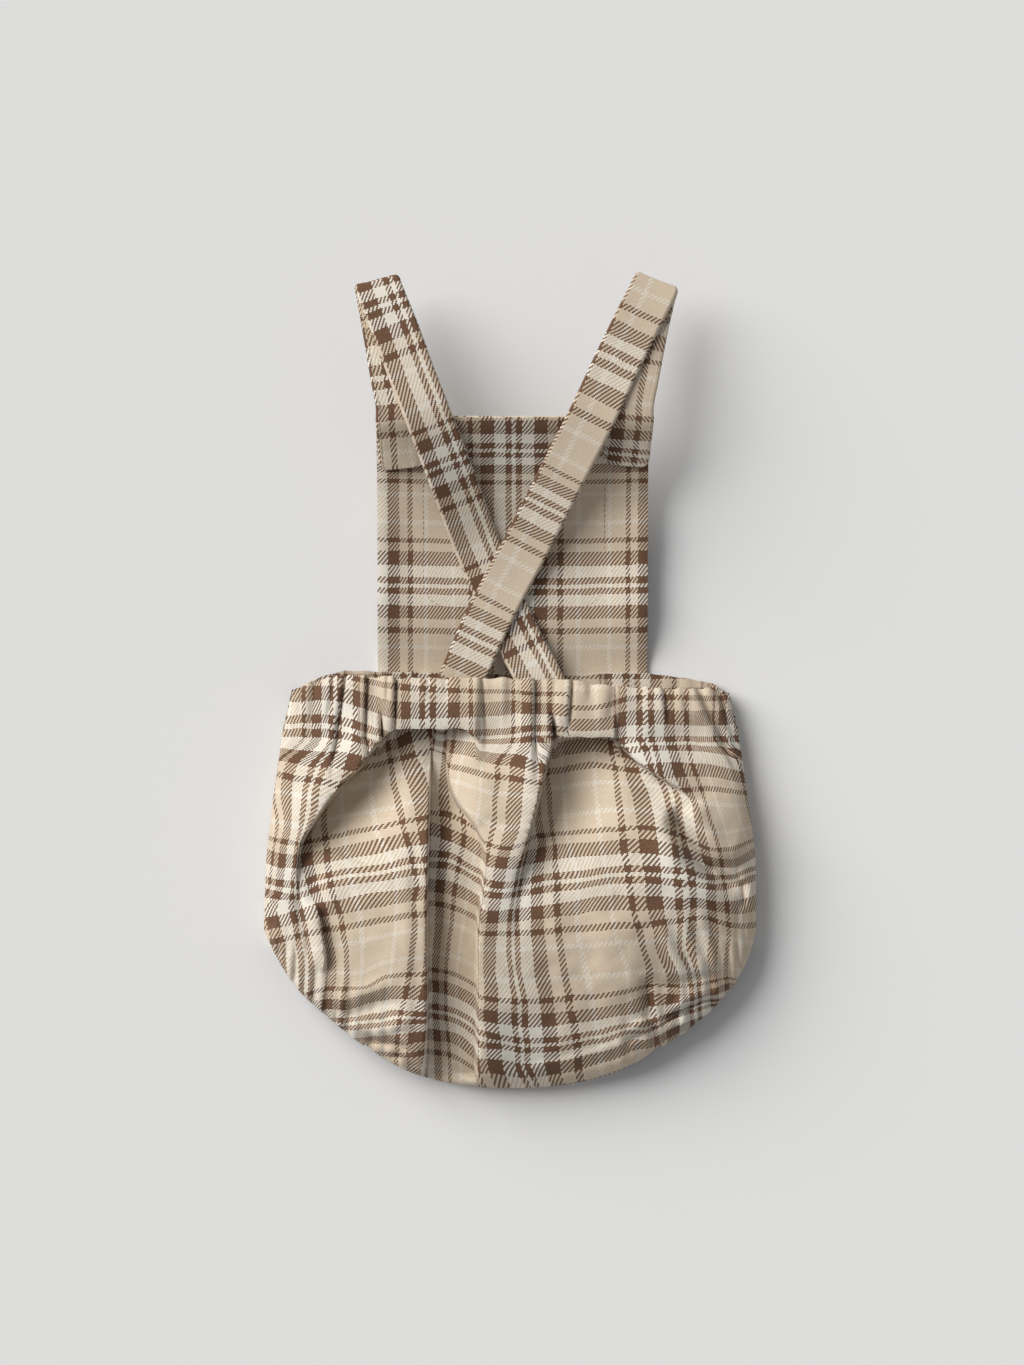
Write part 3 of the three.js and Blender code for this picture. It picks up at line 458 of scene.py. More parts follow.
# Softer folds of the back: height above the puff, negative for a hollow, how far it fades to
# the left and to the right of it, shares of its length over which its ends fade, and its way
# from the top down.
CREASES = {
    "right side ridge": (4.6, 9, 5, (0.25, 0.3),
        ((84, -80), (88, -96), (98, -108), (110, -116), (124, -120))),
    "right side hollow": (-16.0, 4.6, 5.4, (0.2, 0.2),
        ((88, -66), (91, -80), (99, -93), (108, -103), (119, -111), (131, -116))),
    "right side swell": (7.0, 6, 9, (0.2, 0.2), ((96, -66), (104, -80), (116, -91), (130, -95))),
    "centre scoop": (-5.0, 10, 18, (0.15, 0.45), ((32, -38), (38, -62), (46, -90))),
    "left scoop": (-4.0, 14, 14, (0.3, 0.4), ((-82, -50), (-79, -68), (-82, -92))),
    "lower right puff": (3.6, 24, 12, (0.3, 0.3), ((58, -120), (64, -150), (56, -180))),
    "right flank crease": (-5.5, 1.5, 2.2, (0.25, 0.3), ((127, -108), (127.5, -116), (126, -126))),
    "right flank waves": (-2.0, 3, 3, (0.3, 0.2), ((106, -104), (116, -101), (128, -104))),
    "left hollow tail": (-3.5, 4, 7, (0.3, 0.3), ((-108, -98), (-109, -112), (-107, -126))),
    "left finger swell": (2.6, 4, 4, (0.25, 0.25),
        ((-110, -118), (-109, -132), (-106, -146), (-105, -158))),
    "left finger groove": (-3.4, 2.4, 2.6, (0.2, 0.25),
        ((-118, -112), (-116.5, -126), (-112.5, -142), (-108, -156))),
    "left side gather": (2.0, 3.5, 2.6, (0.25, 0.25),
        ((-128, -128), (-122, -138), (-116, -150), (-110, -162))),
    "left side nip": (-2.6, 2.4, 2.8, (0.15, 0.3),
        ((-137, -131), (-128, -135), (-121, -145), (-113, -160))),
    "left side nip b": (-1.8, 2.0, 2.4, (0.2, 0.3), ((-132, -146), (-124, -152), (-116, -163))),
    "left leg turn": (2.8, 4, 5, (0.25, 0.3),
        ((-104, -174), (-90, -174), (-76, -168), (-62, -165))),
    "left leg hollow": (-3.2, 3, 4, (0.25, 0.3),
        ((-100, -181), (-84, -181), (-70, -176), (-56, -176))),
    "left leg turn below": (3.4, 3, 3.6, (0.25, 0.3),
        ((-92, -188), (-76, -192), (-62, -188), (-52, -186))),
    "left leg dip": (-6.0, 2.2, 2.8, (0.2, 0.2),
        ((-84, -196), (-72, -198), (-62, -200), (-56, -206))),
    "left leg tuck": (-2.6, 2.0, 2.4, (0.25, 0.2),
        ((-92, -181), (-84, -186), (-79, -193), (-73, -196))),
    "left leg ridge": (2.4, 2.4, 2.2, (0.25, 0.25), ((-66, -194), (-58, -197), (-52, -204))),
    "left crotch nip": (-5.5, 2.0, 2.4, (0.2, 0.15),
        ((-70, -207), (-62, -206), (-55, -211), (-49, -218))),
    "left panel swell": (1.4, 14, 12, (0.3, 0.3), ((-84, -112), (-76, -130), (-72, -150))),
    "pleat side": (-0.9, 2.2, 2.2, (0.2, 0.2),
        ((-53.5, -60), (-54.5, -110), (-54, -170), (-54.5, -206))),
    "trough soft fold": (1.3, 3.0, 4.0, (0.25, 0.2),
        ((-34, -64), (-33, -110), (-34, -160), (-33, -206))),
    "under casing dent": (-1.6, 2.2, 2.2, (0.0, 0.5), ((-47, -24), (-49, -40), (-49.5, -62))),
    "under casing swell": (1.6, 1.6, 1.6, (0.0, 0.5), ((-40, -26), (-40.5, -44), (-41, -70))),
    "centre swell": (2.4, 12, 12, (0.3, 0.3), ((-18, -46), (-12, -62), (-6, -78))),
    "centre fold": (-1.5, 2.4, 3.6, (0.3, 0.4), ((9, -92), (5, -112), (3, -130), (3, -150))),
    "right leg gather": (-2.2, 2.4, 4.5, (0.2, 0.2),
        ((70, -163), (84, -166.5), (104, -163), (122, -161))),
    "right leg fan a": (2.0, 3.4, 2.2, (0.3, 0.15), ((80, -128), (86, -144), (98, -164))),
    "right leg fan b": (2.0, 3.2, 2.2, (0.3, 0.15), ((92, -124), (98, -142), (106, -162))),
    "right leg fan c": (1.8, 3.0, 2.4, (0.3, 0.15), ((102, -122), (107, -140), (112, -160))),
    "right leg nip": (-5.4, 2.2, 3.0, (0.25, 0.3),
        ((72, -160), (73.5, -174), (75, -187), (84, -194))),
    "right leg nip below": (-5.2, 2.0, 2.2, (0.25, 0.2),
        ((80, -190), (90, -183), (100, -178), (112, -172))),
    "right leg fold": (3.4, 2.6, 2.4, (0.25, 0.25),
        ((62, -192), (76, -186), (90, -189), (100, -184))),
    "right leg groove": (-4.4, 2.0, 2.4, (0.25, 0.25),
        ((58, -201), (72, -194), (86, -196), (98, -190))),
    "right leg nip end": (3.2, 2.0, 2.2, (0.25, 0.2),
        ((84, -184), (96, -174), (108, -172), (118, -166))),
    "lower right turn": (2.2, 8, 2.4, (0.2, 0.2),
        ((-4, -217), (14, -212), (38, -206), (60, -199), (80, -194), (94, -187))),
    "lower right band": (-2.4, 2.4, 5, (0.2, 0.15),
        ((6, -220), (36, -212), (66, -203), (92, -192))),
    "right flank nip": (-2.6, 2.2, 2.0, (0.25, 0.25),
        ((123, -100), (125.5, -112), (124, -128), (125, -140))),
    "right flank nip b": (-1.4, 2.4, 2.0, (0.3, 0.3), ((129, -96), (129, -120), (126, -148))),
    "left flank nip": (-1.4, 2.4, 2.6, (0.3, 0.3), ((-127, -64), (-126, -88), (-123, -110))),
    "left flank fold": (-1.3, 2.2, 2.2, (0.2, 0.3), ((-119, -52), (-121, -76), (-122, -96))),
}

# Pleats that the elastic takes up at the waist: where each is at the top of the casing and
# 40 mm further down, its depth, how softly the cloth rises to it from the left and drops on
# its right, and the height at which it has gone.
WAIST_PLEATS = (
    (-111, -115, 1.5, 4.0, 2.0, -38), (-101, -106, 1.8, 4.5, 1.6, -34),
    (-94, -99.5, 4.0, 6.0, 1.2, -62), (-81.2, -83.2, 4.6, 6.5, 1.1, -52),
    (-70.5, -71.5, 2.0, 2.6, 1.4, -16), (-65.4, -66.6, 4.2, 4.0, 1.1, -36),
    (-49, -47, 1.0, 3.0, 2.0, -12), (-39, -38, 0.9, 3.0, 2.0, -10),
    (-18.6, -16.0, 3.2, 7.0, 1.3, -44), (-5, -5, 1.0, 4.0, 2.5, -28),
    (3, 4, 0.8, 3.0, 1.6, -16), (11.2, 10.8, 4.0, 6.0, 1.1, -66),
    (21, 20, 0.9, 3.0, 2.0, -22), (31.4, 28.6, 4.2, 7.0, 1.1, -31),
    (40, 40, 0.9, 2.4, 2.0, -12), (53, 47, 1.8, 5.0, 3.0, -27), (68, 68, 1.0, 4.0, 2.0, -20),
    (81, 86, 3.6, 6.0, 1.3, -30), (91, 97, 0.9, 3.0, 1.6, -26),
    (97.3, 116, 4.8, 6.5, 1.9, -66), (109, 122.5, 3.4, 4.5, 1.6, -60),
    (118, 126, 1.6, 3.0, 1.5, -48),
)

# Where the casing's lower edge stands clear of a hollow in the panel below it: from, to, how
# far the edge is lifted up the back and over what width, and how far the panel drops away.
CASING_HEMS = ((-71.5, -19.0, 5.2, 8.0, 2.0), (24.0, 58.0, 0.6, 4.0, 2.0))
DROP_REACH = 22.0  # how far below the waist seam the panel begins to drop away
TUCK_REACH = 5.0  # how far below it the panel begins to tuck under a free edge

LEG_WAVES = 15  # gathers along one leg opening
HEM_GATHER = 1.7  # their height on the back, and on the front hems
FRONT_HEM_GATHER = 0.8
BACK_WAIST_WAVES = 27
FRONT_WAIST_WAVES = 24
WAIST_GATHER = 0.55  # height of the gathers of the back casing and the front casing
FRONT_WAIST_GATHER = 0.45

# Uneven swells of the cloth: seed, longest and shortest wave, height.
BACK_RUMPLES = ((11, 46, 22, 0.8), (12, 17, 9, 0.3))
FRONT_RUMPLE = (21, 40, 20, 0.9)
LINING_RUMPLE = (31, 60, 24, 0.25)
STRAP_RUMPLES = {"left": (41, 30, 9, 0.14), "right": (42, 30, 9, 0.14)}


# ---- numbers and curves


def mix(a, b, share):
    return a + (b - a) * share


def ease(low, high, value):
    """Smooth step from 0 at low to 1 at high."""
    share = np.clip((np.asarray(value, float) - low) / (high - low), 0.0, 1.0)
    return share * share * (3.0 - 2.0 * share)


def hump(away, width):
    """1 at no distance, fading to 0 over about twice a width."""
    return np.exp(-((away / width) ** 2))


def lengths_along(points):
    """Distance covered at each point of a line."""
    return np.concatenate([[0], np.cumsum(np.linalg.norm(np.diff(points, axis=0), axis=1))])


def read_table(rows, value, column=1):
    """Straight-line reading of a small table whose first column rises or falls."""
    table = np.array(sorted(rows), float)
    return np.interp(value, table[:, 0], table[:, column])


class SmoothCurve:
    """Curve through places by centripetal knots, as the part's own drawing makes it."""

    def __init__(self, places):
        points = np.array(places, float)
        points = np.vstack([2 * points[0] - points[1], points, 2 * points[-1] - points[-2]])
        knots = np.linalg.norm(np.diff(points, axis=0), axis=1) ** 0.5
        self.spans = len(points) - 3
        self.parts = []
        for k in range(self.spans):
            p0, p1, p2, p3 = points[k:k + 4]
            d0, d1, d2 = knots[k:k + 3]
            start = ((p1 - p0) / d0 - (p2 - p0) / (d0 + d1) + (p2 - p1) / d1) * d1
            end = ((p2 - p1) / d1 - (p3 - p1) / (d1 + d2) + (p3 - p2) / d2) * d1
            self.parts.append((
                p1, start, -3 * p1 + 3 * p2 - 2 * start - end, 2 * p1 - 2 * p2 + start + end,
            ))
        self.parts = np.array(self.parts)

    def at(self, share):
        """Points at shares from 0 to 1, each span taking an equal share."""
        place = np.clip(np.asarray(share, float), 0, 1) * self.spans
        span = np.minimum(place.astype(int), self.spans - 1)
        t = (place - span)[..., None]
        c0, c1, c2, c3 = (self.parts[span, k] for k in range(4))
        return c0 + t * (c1 + t * (c2 + t * c3))

    def even(self, share, fineness=1200):
        """Points at shares of the curve's length."""
        steps = np.linspace(0, 1, fineness)
        length = lengths_along(self.at(steps))
        return self.at(np.interp(np.asarray(share, float) * length[-1], length, steps))


def uneven_waves(share, waves):
    """A wave between -1 and 1 that never repeats exactly."""
    turn = 2 * math.pi * waves * np.asarray(share, float)
    return 0.62 * np.sin(turn) + 0.38 * np.sin(turn * 0.618 + 1.3)


def rumple(x, y, seed, longest, shortest, count=14):
    """Low uneven swells, between about -1 and 1, for cloth that never lies dead flat."""
    chance = np.random.RandomState(seed)
    total = np.zeros(np.broadcast(x, y).shape)
    for _ in range(count):
        wave = mix(shortest, longest, chance.rand())
        angle = chance.rand() * math.pi
        phase = chance.rand() * 2 * math.pi
        along = (x * math.cos(angle) + y * math.sin(angle)) / wave * 2 * math.pi
        total += np.sin(along + phase + 1.2 * np.sin(along * 0.31 + phase * 1.7))
    return total / count ** 0.5 / 1.4


def smooth_field(rows, stiffness):
    """Thin-plate surface through rows of (stripe, repeats on, places...): the cloth's
    coordinate as a function of x and y."""
    places = np.array([place for row in rows for place in row[2:]], float) / 100.0
    values = np.array([row[0] + row[1] * REPEAT for row in rows for _ in row[2:]], float)

    def bend(a, b):
        r2 = ((a[..., None, :] - b) ** 2).sum(-1)
        return 0.5 * r2 * np.log(np.maximum(r2, 1e-12))

    count = len(values)
    flat = np.column_stack([np.ones(count), places])
    system = np.zeros((count + 3, count + 3))
    system[:count, :count] = bend(places, places) + stiffness * np.eye(count)
    system[:count, count:] = flat
    system[count:, :count] = flat.T
    weights = np.linalg.solve(system, np.concatenate([values, np.zeros(3)]))

    def field(x, y):
        here = np.stack([np.asarray(x, float), np.asarray(y, float)], axis=-1) / 100.0
        shape = here.shape[:-1]
        here = here.reshape(-1, 2)
        out = bend(here, places) @ weights[:count]
        out += weights[count] + here @ weights[count + 1:]
        return out.reshape(shape)

    return field


def beside_line(x, y, places, fineness=36):
    """Distance of each place from a line, positive on its right going down, and the share
    of the line reached, with the line's own direction there."""
    line = SmoothCurve(places).even(np.linspace(0, 1, fineness))
    best = np.full(x.shape, np.inf)
    share = np.zeros(x.shape)
    right = np.ones(x.shape)
    way_x = np.zeros(x.shape)
    way_y = np.zeros(x.shape)
    for k in range(len(line) - 1):
        start, step = line[k], line[k + 1] - line[k]
        length = math.hypot(*step)
        t = np.clip(((x - start[0]) * step[0] + (y - start[1]) * step[1]) / length ** 2, 0, 1)
        off_x = x - start[0] - t * step[0]
        off_y = y - start[1] - t * step[1]
        distance = np.hypot(off_x, off_y)
        nearer = distance < best
        best = np.where(nearer, distance, best)
        share = np.where(nearer, (k + t) / (len(line) - 1), share)
        hand = np.where(step[0] * off_y - step[1] * off_x > 0, 1.0, -1.0)
        right = np.where(nearer, hand, right)
        way_x = np.where(nearer, step[0] / length, way_x)
        way_y = np.where(nearer, step[1] / length, way_y)
    return best * right, share, way_x, way_y


# ---- shapes of the bloomers

LOWER_CURVE = SmoothCurve(LOWER_EDGE)
CROTCH_DEPTH = -LOWER_EDGE[6][1]  # how far the bloomers reach down in the middle


def roll(share, squareness):
    """Quarter of a rounded cross-section: how far out and how high."""
    angle = (math.pi / 2) * np.asarray(share, float) ** (squareness / 2)
    out = np.sin(angle) ** (2 / squareness)
    up = np.maximum(np.cos(angle), 0) ** (2 / squareness)
    return out, up


def plan(side, down):
    """Place on the surface for -1 to 1 across and 0 at the waist to 1 at the lower edge."""
    share = (side + 1) / 2
    hem = LOWER_CURVE.even(share)
    side_y = mix(SIDES[0][0], SIDES[-1][0], down)
    left, right = read_table(SIDES, side_y, 1), read_table(SIDES, side_y, 2)
    corner_x = mix(SIDES[-1][1], SIDES[-1][2], share)
    x = mix(left, right, share) + (hem[..., 0] - corner_x) * down
    return x, mix(SIDES[0][0], hem[..., 1], down)


def edge_height(side, leg_height):
    """Height of a panel's lower edge: at the crotch, along the leg opening and at the side."""
    along = np.abs(side)
    opened = ease(LEG_START - 0.08, LEG_START + 0.12, along)
    closed = ease(LEG_END - 0.08, LEG_END, along)
    return mix(mix(CROTCH_HEIGHT, leg_height, opened), SEAM_HEIGHT, closed)


def hem_start(across):
    """Share of the way down at which a panel ends and its leg hem begins."""
    along = np.abs(across * 2 - 1)
    on_leg = np.clip((along - LEG_START) / (LEG_END - LEG_START), 0, 1)
    return 1 - HEM_WIDTH / CROTCH_DEPTH * np.sin(math.pi * on_leg)


def pleat_height(x, y):
    """Height taken up by the waist's pleats, which start at the top of the casing."""
    height = np.zeros(np.broadcast(x, y).shape)
    for top, bottom, depth, left, right, gone in WAIST_PLEATS:
        away = x - mix(top, bottom, -y / 40.0)
        spread = 1 + 0.4 * np.clip(-y / 60.0, 0, 1)
        rise = np.where(away < 0, hump(away, left * spread), hump(away, right))
        nip = hump(away - 1.5 * right, right * spread)
        fade = 1 - ease(0.45, 1.0, y / gone)
        height += depth * fade * (0.62 * rise - 0.62 * nip)
    return height


def casing_hem(x):
    """How far the casing's lower edge is free of the panel at a place along the waist, how
    far it is lifted there and how far the panel drops away."""
    free = np.zeros(np.shape(x))
    lift = np.zeros(np.shape(x))
    drop = np.zeros(np.shape(x))
    for start, end, up, width, down in CASING_HEMS:
        free += ease(start - 1.0, start + 1.5, x) * (1 - ease(end - 1.5, end + 1.5, x))
        raised = ease(start, start + width, x) * (1 - ease(end - width, end, x))
        lift += up * raised
        drop += down * raised
    return free, lift, drop


def leg_wave(side):
    """Gathers along a leg opening, the same for a panel and its hem."""
    along = np.clip((np.abs(side) - LEG_START) / (LEG_END - LEG_START), 0, 1)
    wave = uneven_waves(along + 0.137 * (side > 0), LEG_WAVES)
    return wave * np.sin(math.pi * along) ** 0.7


def end_fades(share, fades):
    """Fades a fold in and out over the given shares of its length."""
    fade_in, fade_out = fades
    fade = np.ones(share.shape)
    if fade_in:
        fade = fade * ease(0, fade_in, share)
    if fade_out:
        fade = fade * (1 - ease(1 - fade_out, 1, share))
    return fade


def roll_folds(flat_x, flat_y, z, strength, fold_over):
    """Leans the cloth over the edge of each rolled fold and sinks it beyond: x, y, z, and for
    each fold the share of the cloth's turn into its hollow."""
    x, y = flat_x.copy(), flat_y.copy()
    turned = {}
    for name, fold in ROLLS.items():
        away, share, way_x, way_y = beside_line(flat_x, flat_y, fold["at"])
        fade = end_fades(share, fold["fades"]) * strength
        away = away * fold["hand"] + ROLL_EDGE * fold["roll"] * fold_over
        turn = ease(ROLL_STARTS, ROLL_ENDS, away / fold["roll"])
        lip = fold["lip"] * hump(np.minimum(away, 0), fold["lip_soft"])
        floor = fold["floor"] * hump(np.maximum(away - fold["roll"], 0), fold["floor_soft"])
        z = z + mix(lip, floor, turn) * fade
        shift = fold["over"] * fold["roll"] * fold_over * fold["hand"]
        shift = shift * fade * hump(away, fold["roll"])
        x += -way_y * shift
        y += way_x * shift
        turned[name] = turn
    return x, y, z, turned


def crease_folds(flat_x, flat_y, z, strength):
    """Adds the softer folds to the cloth's height."""
    for height, left, right, fades, places in CREASES.values():
        away, share, _, _ = beside_line(flat_x, flat_y, places)
        fade = end_fades(share, fades) * strength
        z = z + height * fade * hump(away, np.where(away > 0, right, left))
    return z


def back_shape(across, down, folds):
    """Middle surface of the back of the bloomers, with its folds: x, y, z, the plan's x and y,
    and for each rolled fold the share of the cloth's turn into its hollow."""
    side = across * 2 - 1
    out, up = roll(np.abs(side), PUFF_SQUARENESS)
    out = np.sign(side) * out
    flat_x, flat_y = plan(out, down)
    below = np.maximum(down, 0)
    rise = mix(WAIST_HEIGHT - 1, PUFF_HEIGHT, ease(-0.12, 0.62, down) ** 0.9)
    rounding = np.maximum(1 - below ** HEM_ROUNDING, 0) ** (1 / HEM_ROUNDING)
    rim = mix(SEAM_HEIGHT, edge_height(out, LEG_HEIGHT_BACK), below ** 3) + SEAM / 2
    crown = up * rounding
    z = rim + (rise - rim) * crown
    strength = crown ** FOLD_REACH * folds.depth
    x, y, z, turned = roll_folds(flat_x, flat_y, z, strength, folds.fold_over)
    z = crease_folds(flat_x, flat_y, z, strength)
    bed = mix(rim - BED_AT_RIM, BED, crown)
    z = bed + np.logaddexp(0, (z - bed) / BED_SOFT) * BED_SOFT
    z += pleat_height(flat_x, flat_y) * up ** 0.5 * folds.gather
    free, _, drop = casing_hem(flat_x)
    z -= drop * ease(-DROP_REACH, 0, flat_y - WAIST_LINE) * folds.depth
    under = mix(SEAM_HEIGHT, WAIST_HEIGHT + CASING_HEM_RISE - 2.2 * CLOTH, up)
    z -= np.maximum(z - under, 0) * (free * ease(-TUCK_REACH, 0, flat_y - WAIST_LINE))
    z += HEM_GATHER * leg_wave(out) * ease(0.72, 1.0, down) * folds.gather
    for seed, longest, shortest, height in BACK_RUMPLES:
        z += rumple(flat_x, flat_y, seed, longest, shortest) * height * strength
    return x, y, z, flat_x, flat_y, turned


def front_shape(across, down, folds):
    """Middle surface of the front of the bloomers, on the surface it lies on."""
    side = across * 2 - 1
    out, up = roll(np.abs(side), FLOOR_SQUARENESS)
    out = np.sign(side) * out
    x, y = plan(out, down)
    rounding = np.maximum(1 - down ** (2 * FLOOR_SQUARENESS), 0) ** (0.5 / FLOOR_SQUARENESS)
    rim = mix(SEAM_HEIGHT, edge_height(out, LEG_HEIGHT_FRONT), down ** 6) - SEAM / 2
    z = rim + (CLOTH / 2 - rim) * up * rounding
    seed, longest, shortest, height = FRONT_RUMPLE
    swell = 0.5 + 0.5 * rumple(x, y, seed, longest, shortest)
    z += np.maximum(swell, 0) * height * up ** 0.5 * (1 - down) * folds.depth
    return x, y, z


def finer_shares(count, finer):
    """Shares from 0 to 1, closer together near given places: share, width and how much."""
    fine = np.linspace(0, 1, 2001)
    density = np.ones(fine.shape)
    for place, width, gain in finer:
        density += gain * hump(fine - place, width)
    total = np.concatenate([[0], np.cumsum((density[1:] + density[:-1]) / 2)])
    return np.interp(np.linspace(0, total[-1], count + 1), total, fine)


# ---- the cloth's coordinates


def zone_fields(warps, wefts, stiffness, weft_stiffness=None):
    """The cloth's two coordinates over one zone of the back."""
    return smooth_field(warps, stiffness), smooth_field(wefts, weft_stiffness or stiffness)


LEFT_FLAP_FIELDS = zone_fields(LEFT_FLAP_WARPS, LEFT_FLAP_WEFTS, 2e-4)
LEFT_FIELDS = zone_fields(LEFT_WARPS, LEFT_WEFTS, 2e-4)
TROUGH_FIELDS = zone_fields(TROUGH_WARPS, TROUGH_WEFTS, 2e-3, 1e-3)
CENTRE_FIELDS = zone_fields(CENTRE_WARPS, CENTRE_WEFTS, 5e-4)
RIGHT_FIELDS = zone_fields(RIGHT_WARPS, RIGHT_WEFTS, 2e-4)
RIGHT_FLAP_FIELDS = zone_fields(RIGHT_FLAP_WARPS, RIGHT_FLAP_WEFTS, 5e-4)
CASING_LEFT_FIELD = smooth_field(CASING_WEFTS_LEFT, 5e-4)
CASING_RIGHT_FIELD = smooth_field(CASING_WEFTS_RIGHT, 5e-4)
SEAM_BLEND = 15.0  # how far below the waist seam the casing's check runs on


def casing_weave(x, y):
    """Cloth coordinates on the back casing."""
    down = mix(CASING_LEFT_FIELD(x, y), CASING_RIGHT_FIELD(x, y), ease(*CASING_PLEAT, x))
    return read_table(CASING_WARPS, x), down


def back_weave(x, y, turned):
    """Where on the uncut cloth each place of the back was: along the weft and down the warp."""
    left_flap = (1 - turned["left flap"]) * (1 - ease(112, 128, -y))
    centre = (1 - turned["centre crease"]) * (1 - ease(118, 140, -y))
    above = 1 - turned["right flap"]
    right_flap = mix(above, ease(94, 108, x), ease(60, 74, -y))
    right_flap = right_flap * (1 - ease(130, 160, -y))
    found = []
    for k in range(2):
        left = mix(LEFT_FIELDS[k](x, y), LEFT_FLAP_FIELDS[k](x, y), left_flap)
        left = mix(left, TROUGH_FIELDS[k](x, y), turned["long pleat"])
        right = mix(RIGHT_FIELDS[k](x, y), RIGHT_FLAP_FIELDS[k](x, y), right_flap)
        right = mix(right, CENTRE_FIELDS[k](x, y), centre)
        found.append(mix(right, left, turned["middle ridge"]))
    return found


def run_on(found, x, y, at_seam):
    """Lets the panel's check start from the casing's where the two are one run of cloth."""
    free, _, _ = casing_hem(x[0])
    sewn = (1 - free) * (1 - ease(0, SEAM_BLEND, WAIST_LINE - y))
    casing = casing_weave(x[0], np.full(x[0].shape, WAIST_LINE))
    return [value + (theirs - own) * sewn for value, theirs, own in zip(found, casing, at_seam)]


def front_weave(x, y):
    """Cloth coordinates on the front panel and its hems."""
    return x * 1.05 + 14.0, -y


def front_casing_weave(x, y):
    """Cloth coordinates on the front casing, gathered as the back one is."""
    return read_table(CASING_WARPS, x * 0.97 + 9), -7.0 - y


def pocket_weave(x, y):
    """Cloth coordinates on the pocket, which isn't matched to the bib."""
    return x * 1.02 + 44, -y * 1.05 + 20


def bib_weave(x, y):
    """Cloth coordinates on the bib, whose cross stripes bow a little."""
    bowed = y + 1.2 * np.cos(x / 50.0) - 1.0
    return read_table(BIB_WARPS, x), read_table(BIB_WEFTS, bowed)


# ---- making the meshes

CUT_EDGE_ANGLE = 62.0  # degrees; a sharper turn of the cloth is a cut edge
DOUBLED = 1e-6  # points closer than this are one point, metres


def to_frame(points):
    return (np.asarray(points, float) - ORIGIN) * MM


def add_mesh(name, points, faces, weave, material):
    """Mesh object from points in mm, faces and a cloth coordinate for each point."""
    mesh = bpy.data.meshes.new(name)
    mesh.from_pydata([tuple(p) for p in to_frame(points)], [], faces)
    layer = mesh.uv_layers.new(name="Weave")
    corner_points = np.empty(len(mesh.loops), dtype=np.int32)
    mesh.loops.foreach_get("vertex_index", corner_points)
    coordinates = np.asarray(weave, float)[corner_points] / REPEAT
    layer.data.foreach_set("uv", coordinates.astype(np.float32).ravel())
    mesh.materials.append(material)
    obj = bpy.data.objects.new(name, mesh)
    bpy.context.scene.collection.objects.link(obj)
    smooth_all(obj)
    return obj


def smooth_all(obj):
    obj.data.polygons.foreach_set("use_smooth", [True] * len(obj.data.polygons))
    obj.data.update()


def select_only(obj):
    bpy.ops.object.select_all(action="DESELECT")
    obj.select_set(True)
    bpy.context.view_layer.objects.active = obj


def apply_modifier(obj, kind, **settings):
    modifier = obj.modifiers.new(kind.title(), kind)
    for key, value in settings.items():
        setattr(modifier, key, value)
    select_only(obj)
    bpy.ops.object.modifier_apply(modifier=modifier.name)


def face_outward(obj, merge=False):
    """Turns every face of a closed mesh outwards, once its doubled points are merged."""
    work = bmesh.new()
    work.from_mesh(obj.data)
    if merge:
        bmesh.ops.remove_doubles(work, verts=work.verts, dist=DOUBLED)
    bmesh.ops.recalc_face_normals(work, faces=work.faces)
    work.to_mesh(obj.data)
    work.free()
    smooth_all(obj)


def sharpen_cut_edges(obj):
    obj.data.set_sharp_from_angle(angle=math.radians(CUT_EDGE_ANGLE))


def sheet_mesh(name, points, weave, thickness, material):
    """Closed thin sheet round a grid of middle points (rows, columns, xyz)."""
    rows, columns = points.shape[:2]
    index = np.arange(rows * columns).reshape(rows, columns)
    corners = index[:-1, :-1], index[1:, :-1], index[1:, 1:], index[:-1, 1:]
    faces = np.stack(corners, axis=-1).reshape(-1, 4).tolist()
    obj = add_mesh(name, points.reshape(-1, 3), faces, weave.reshape(-1, 2), material)
    apply_modifier(obj, "SOLIDIFY", thickness=thickness * MM, offset=0.0,
                   use_quality_normals=True, use_rim=True)
    face_outward(obj)
    sharpen_cut_edges(obj)
    return obj


def dress(obj, node):
    """The piece stands for its solid, which is hidden, and is attached to the root body."""
    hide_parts(node)
    return belongs(obj)


def belongs(obj):
    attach(obj, "root")
    return obj


def grid(columns, rows):
    """Shares across and along a sheet."""
    return np.meshgrid(np.linspace(0, 1, columns + 1), np.linspace(0, 1, rows + 1))


# ---- materials

# Tone of the cloth, 1 for a yarn's own colour: where it starts, what a yarn's roundness adds
# (painted shade, each yarn drawn darker towards its edges where shade falls between the yarns),
# what its spinning, the fuzz and slow clouds add to it, and what is taken off again to even it
# out.
BASE_TONE, PAINTED_YARN_SHADE, SPIN_TONE, FUZZ_TONE, CLOUD_TONE = 0.80, 0.16, 0.22, 0.16, 0.10
TONE_TAKEN_OFF = 0.22
YARN_SWAY = 0.012  # how far yarns wander, as a share of the check's repeat
CLOTH_RELIEF = 0.35


def feed(tree, socket, value):
    """Links a socket to another node's output, or gives it a plain value."""
    if isinstance(value, bpy.types.NodeSocket):
        tree.links.new(value, socket)
    else:
        socket.default_value = value


def calculate(tree, operation, *values, clamp=False):
    node = tree.nodes.new("ShaderNodeMath")
    node.operation = operation
    node.use_clamp = clamp
    for socket, value in zip(node.inputs, values):
        feed(tree, socket, value)
    return node.outputs[0]


def combine(tree, x, y):
    node = tree.nodes.new("ShaderNodeCombineXYZ")
    feed(tree, node.inputs[0], x)
    feed(tree, node.inputs[1], y)
    return node.outputs[0]


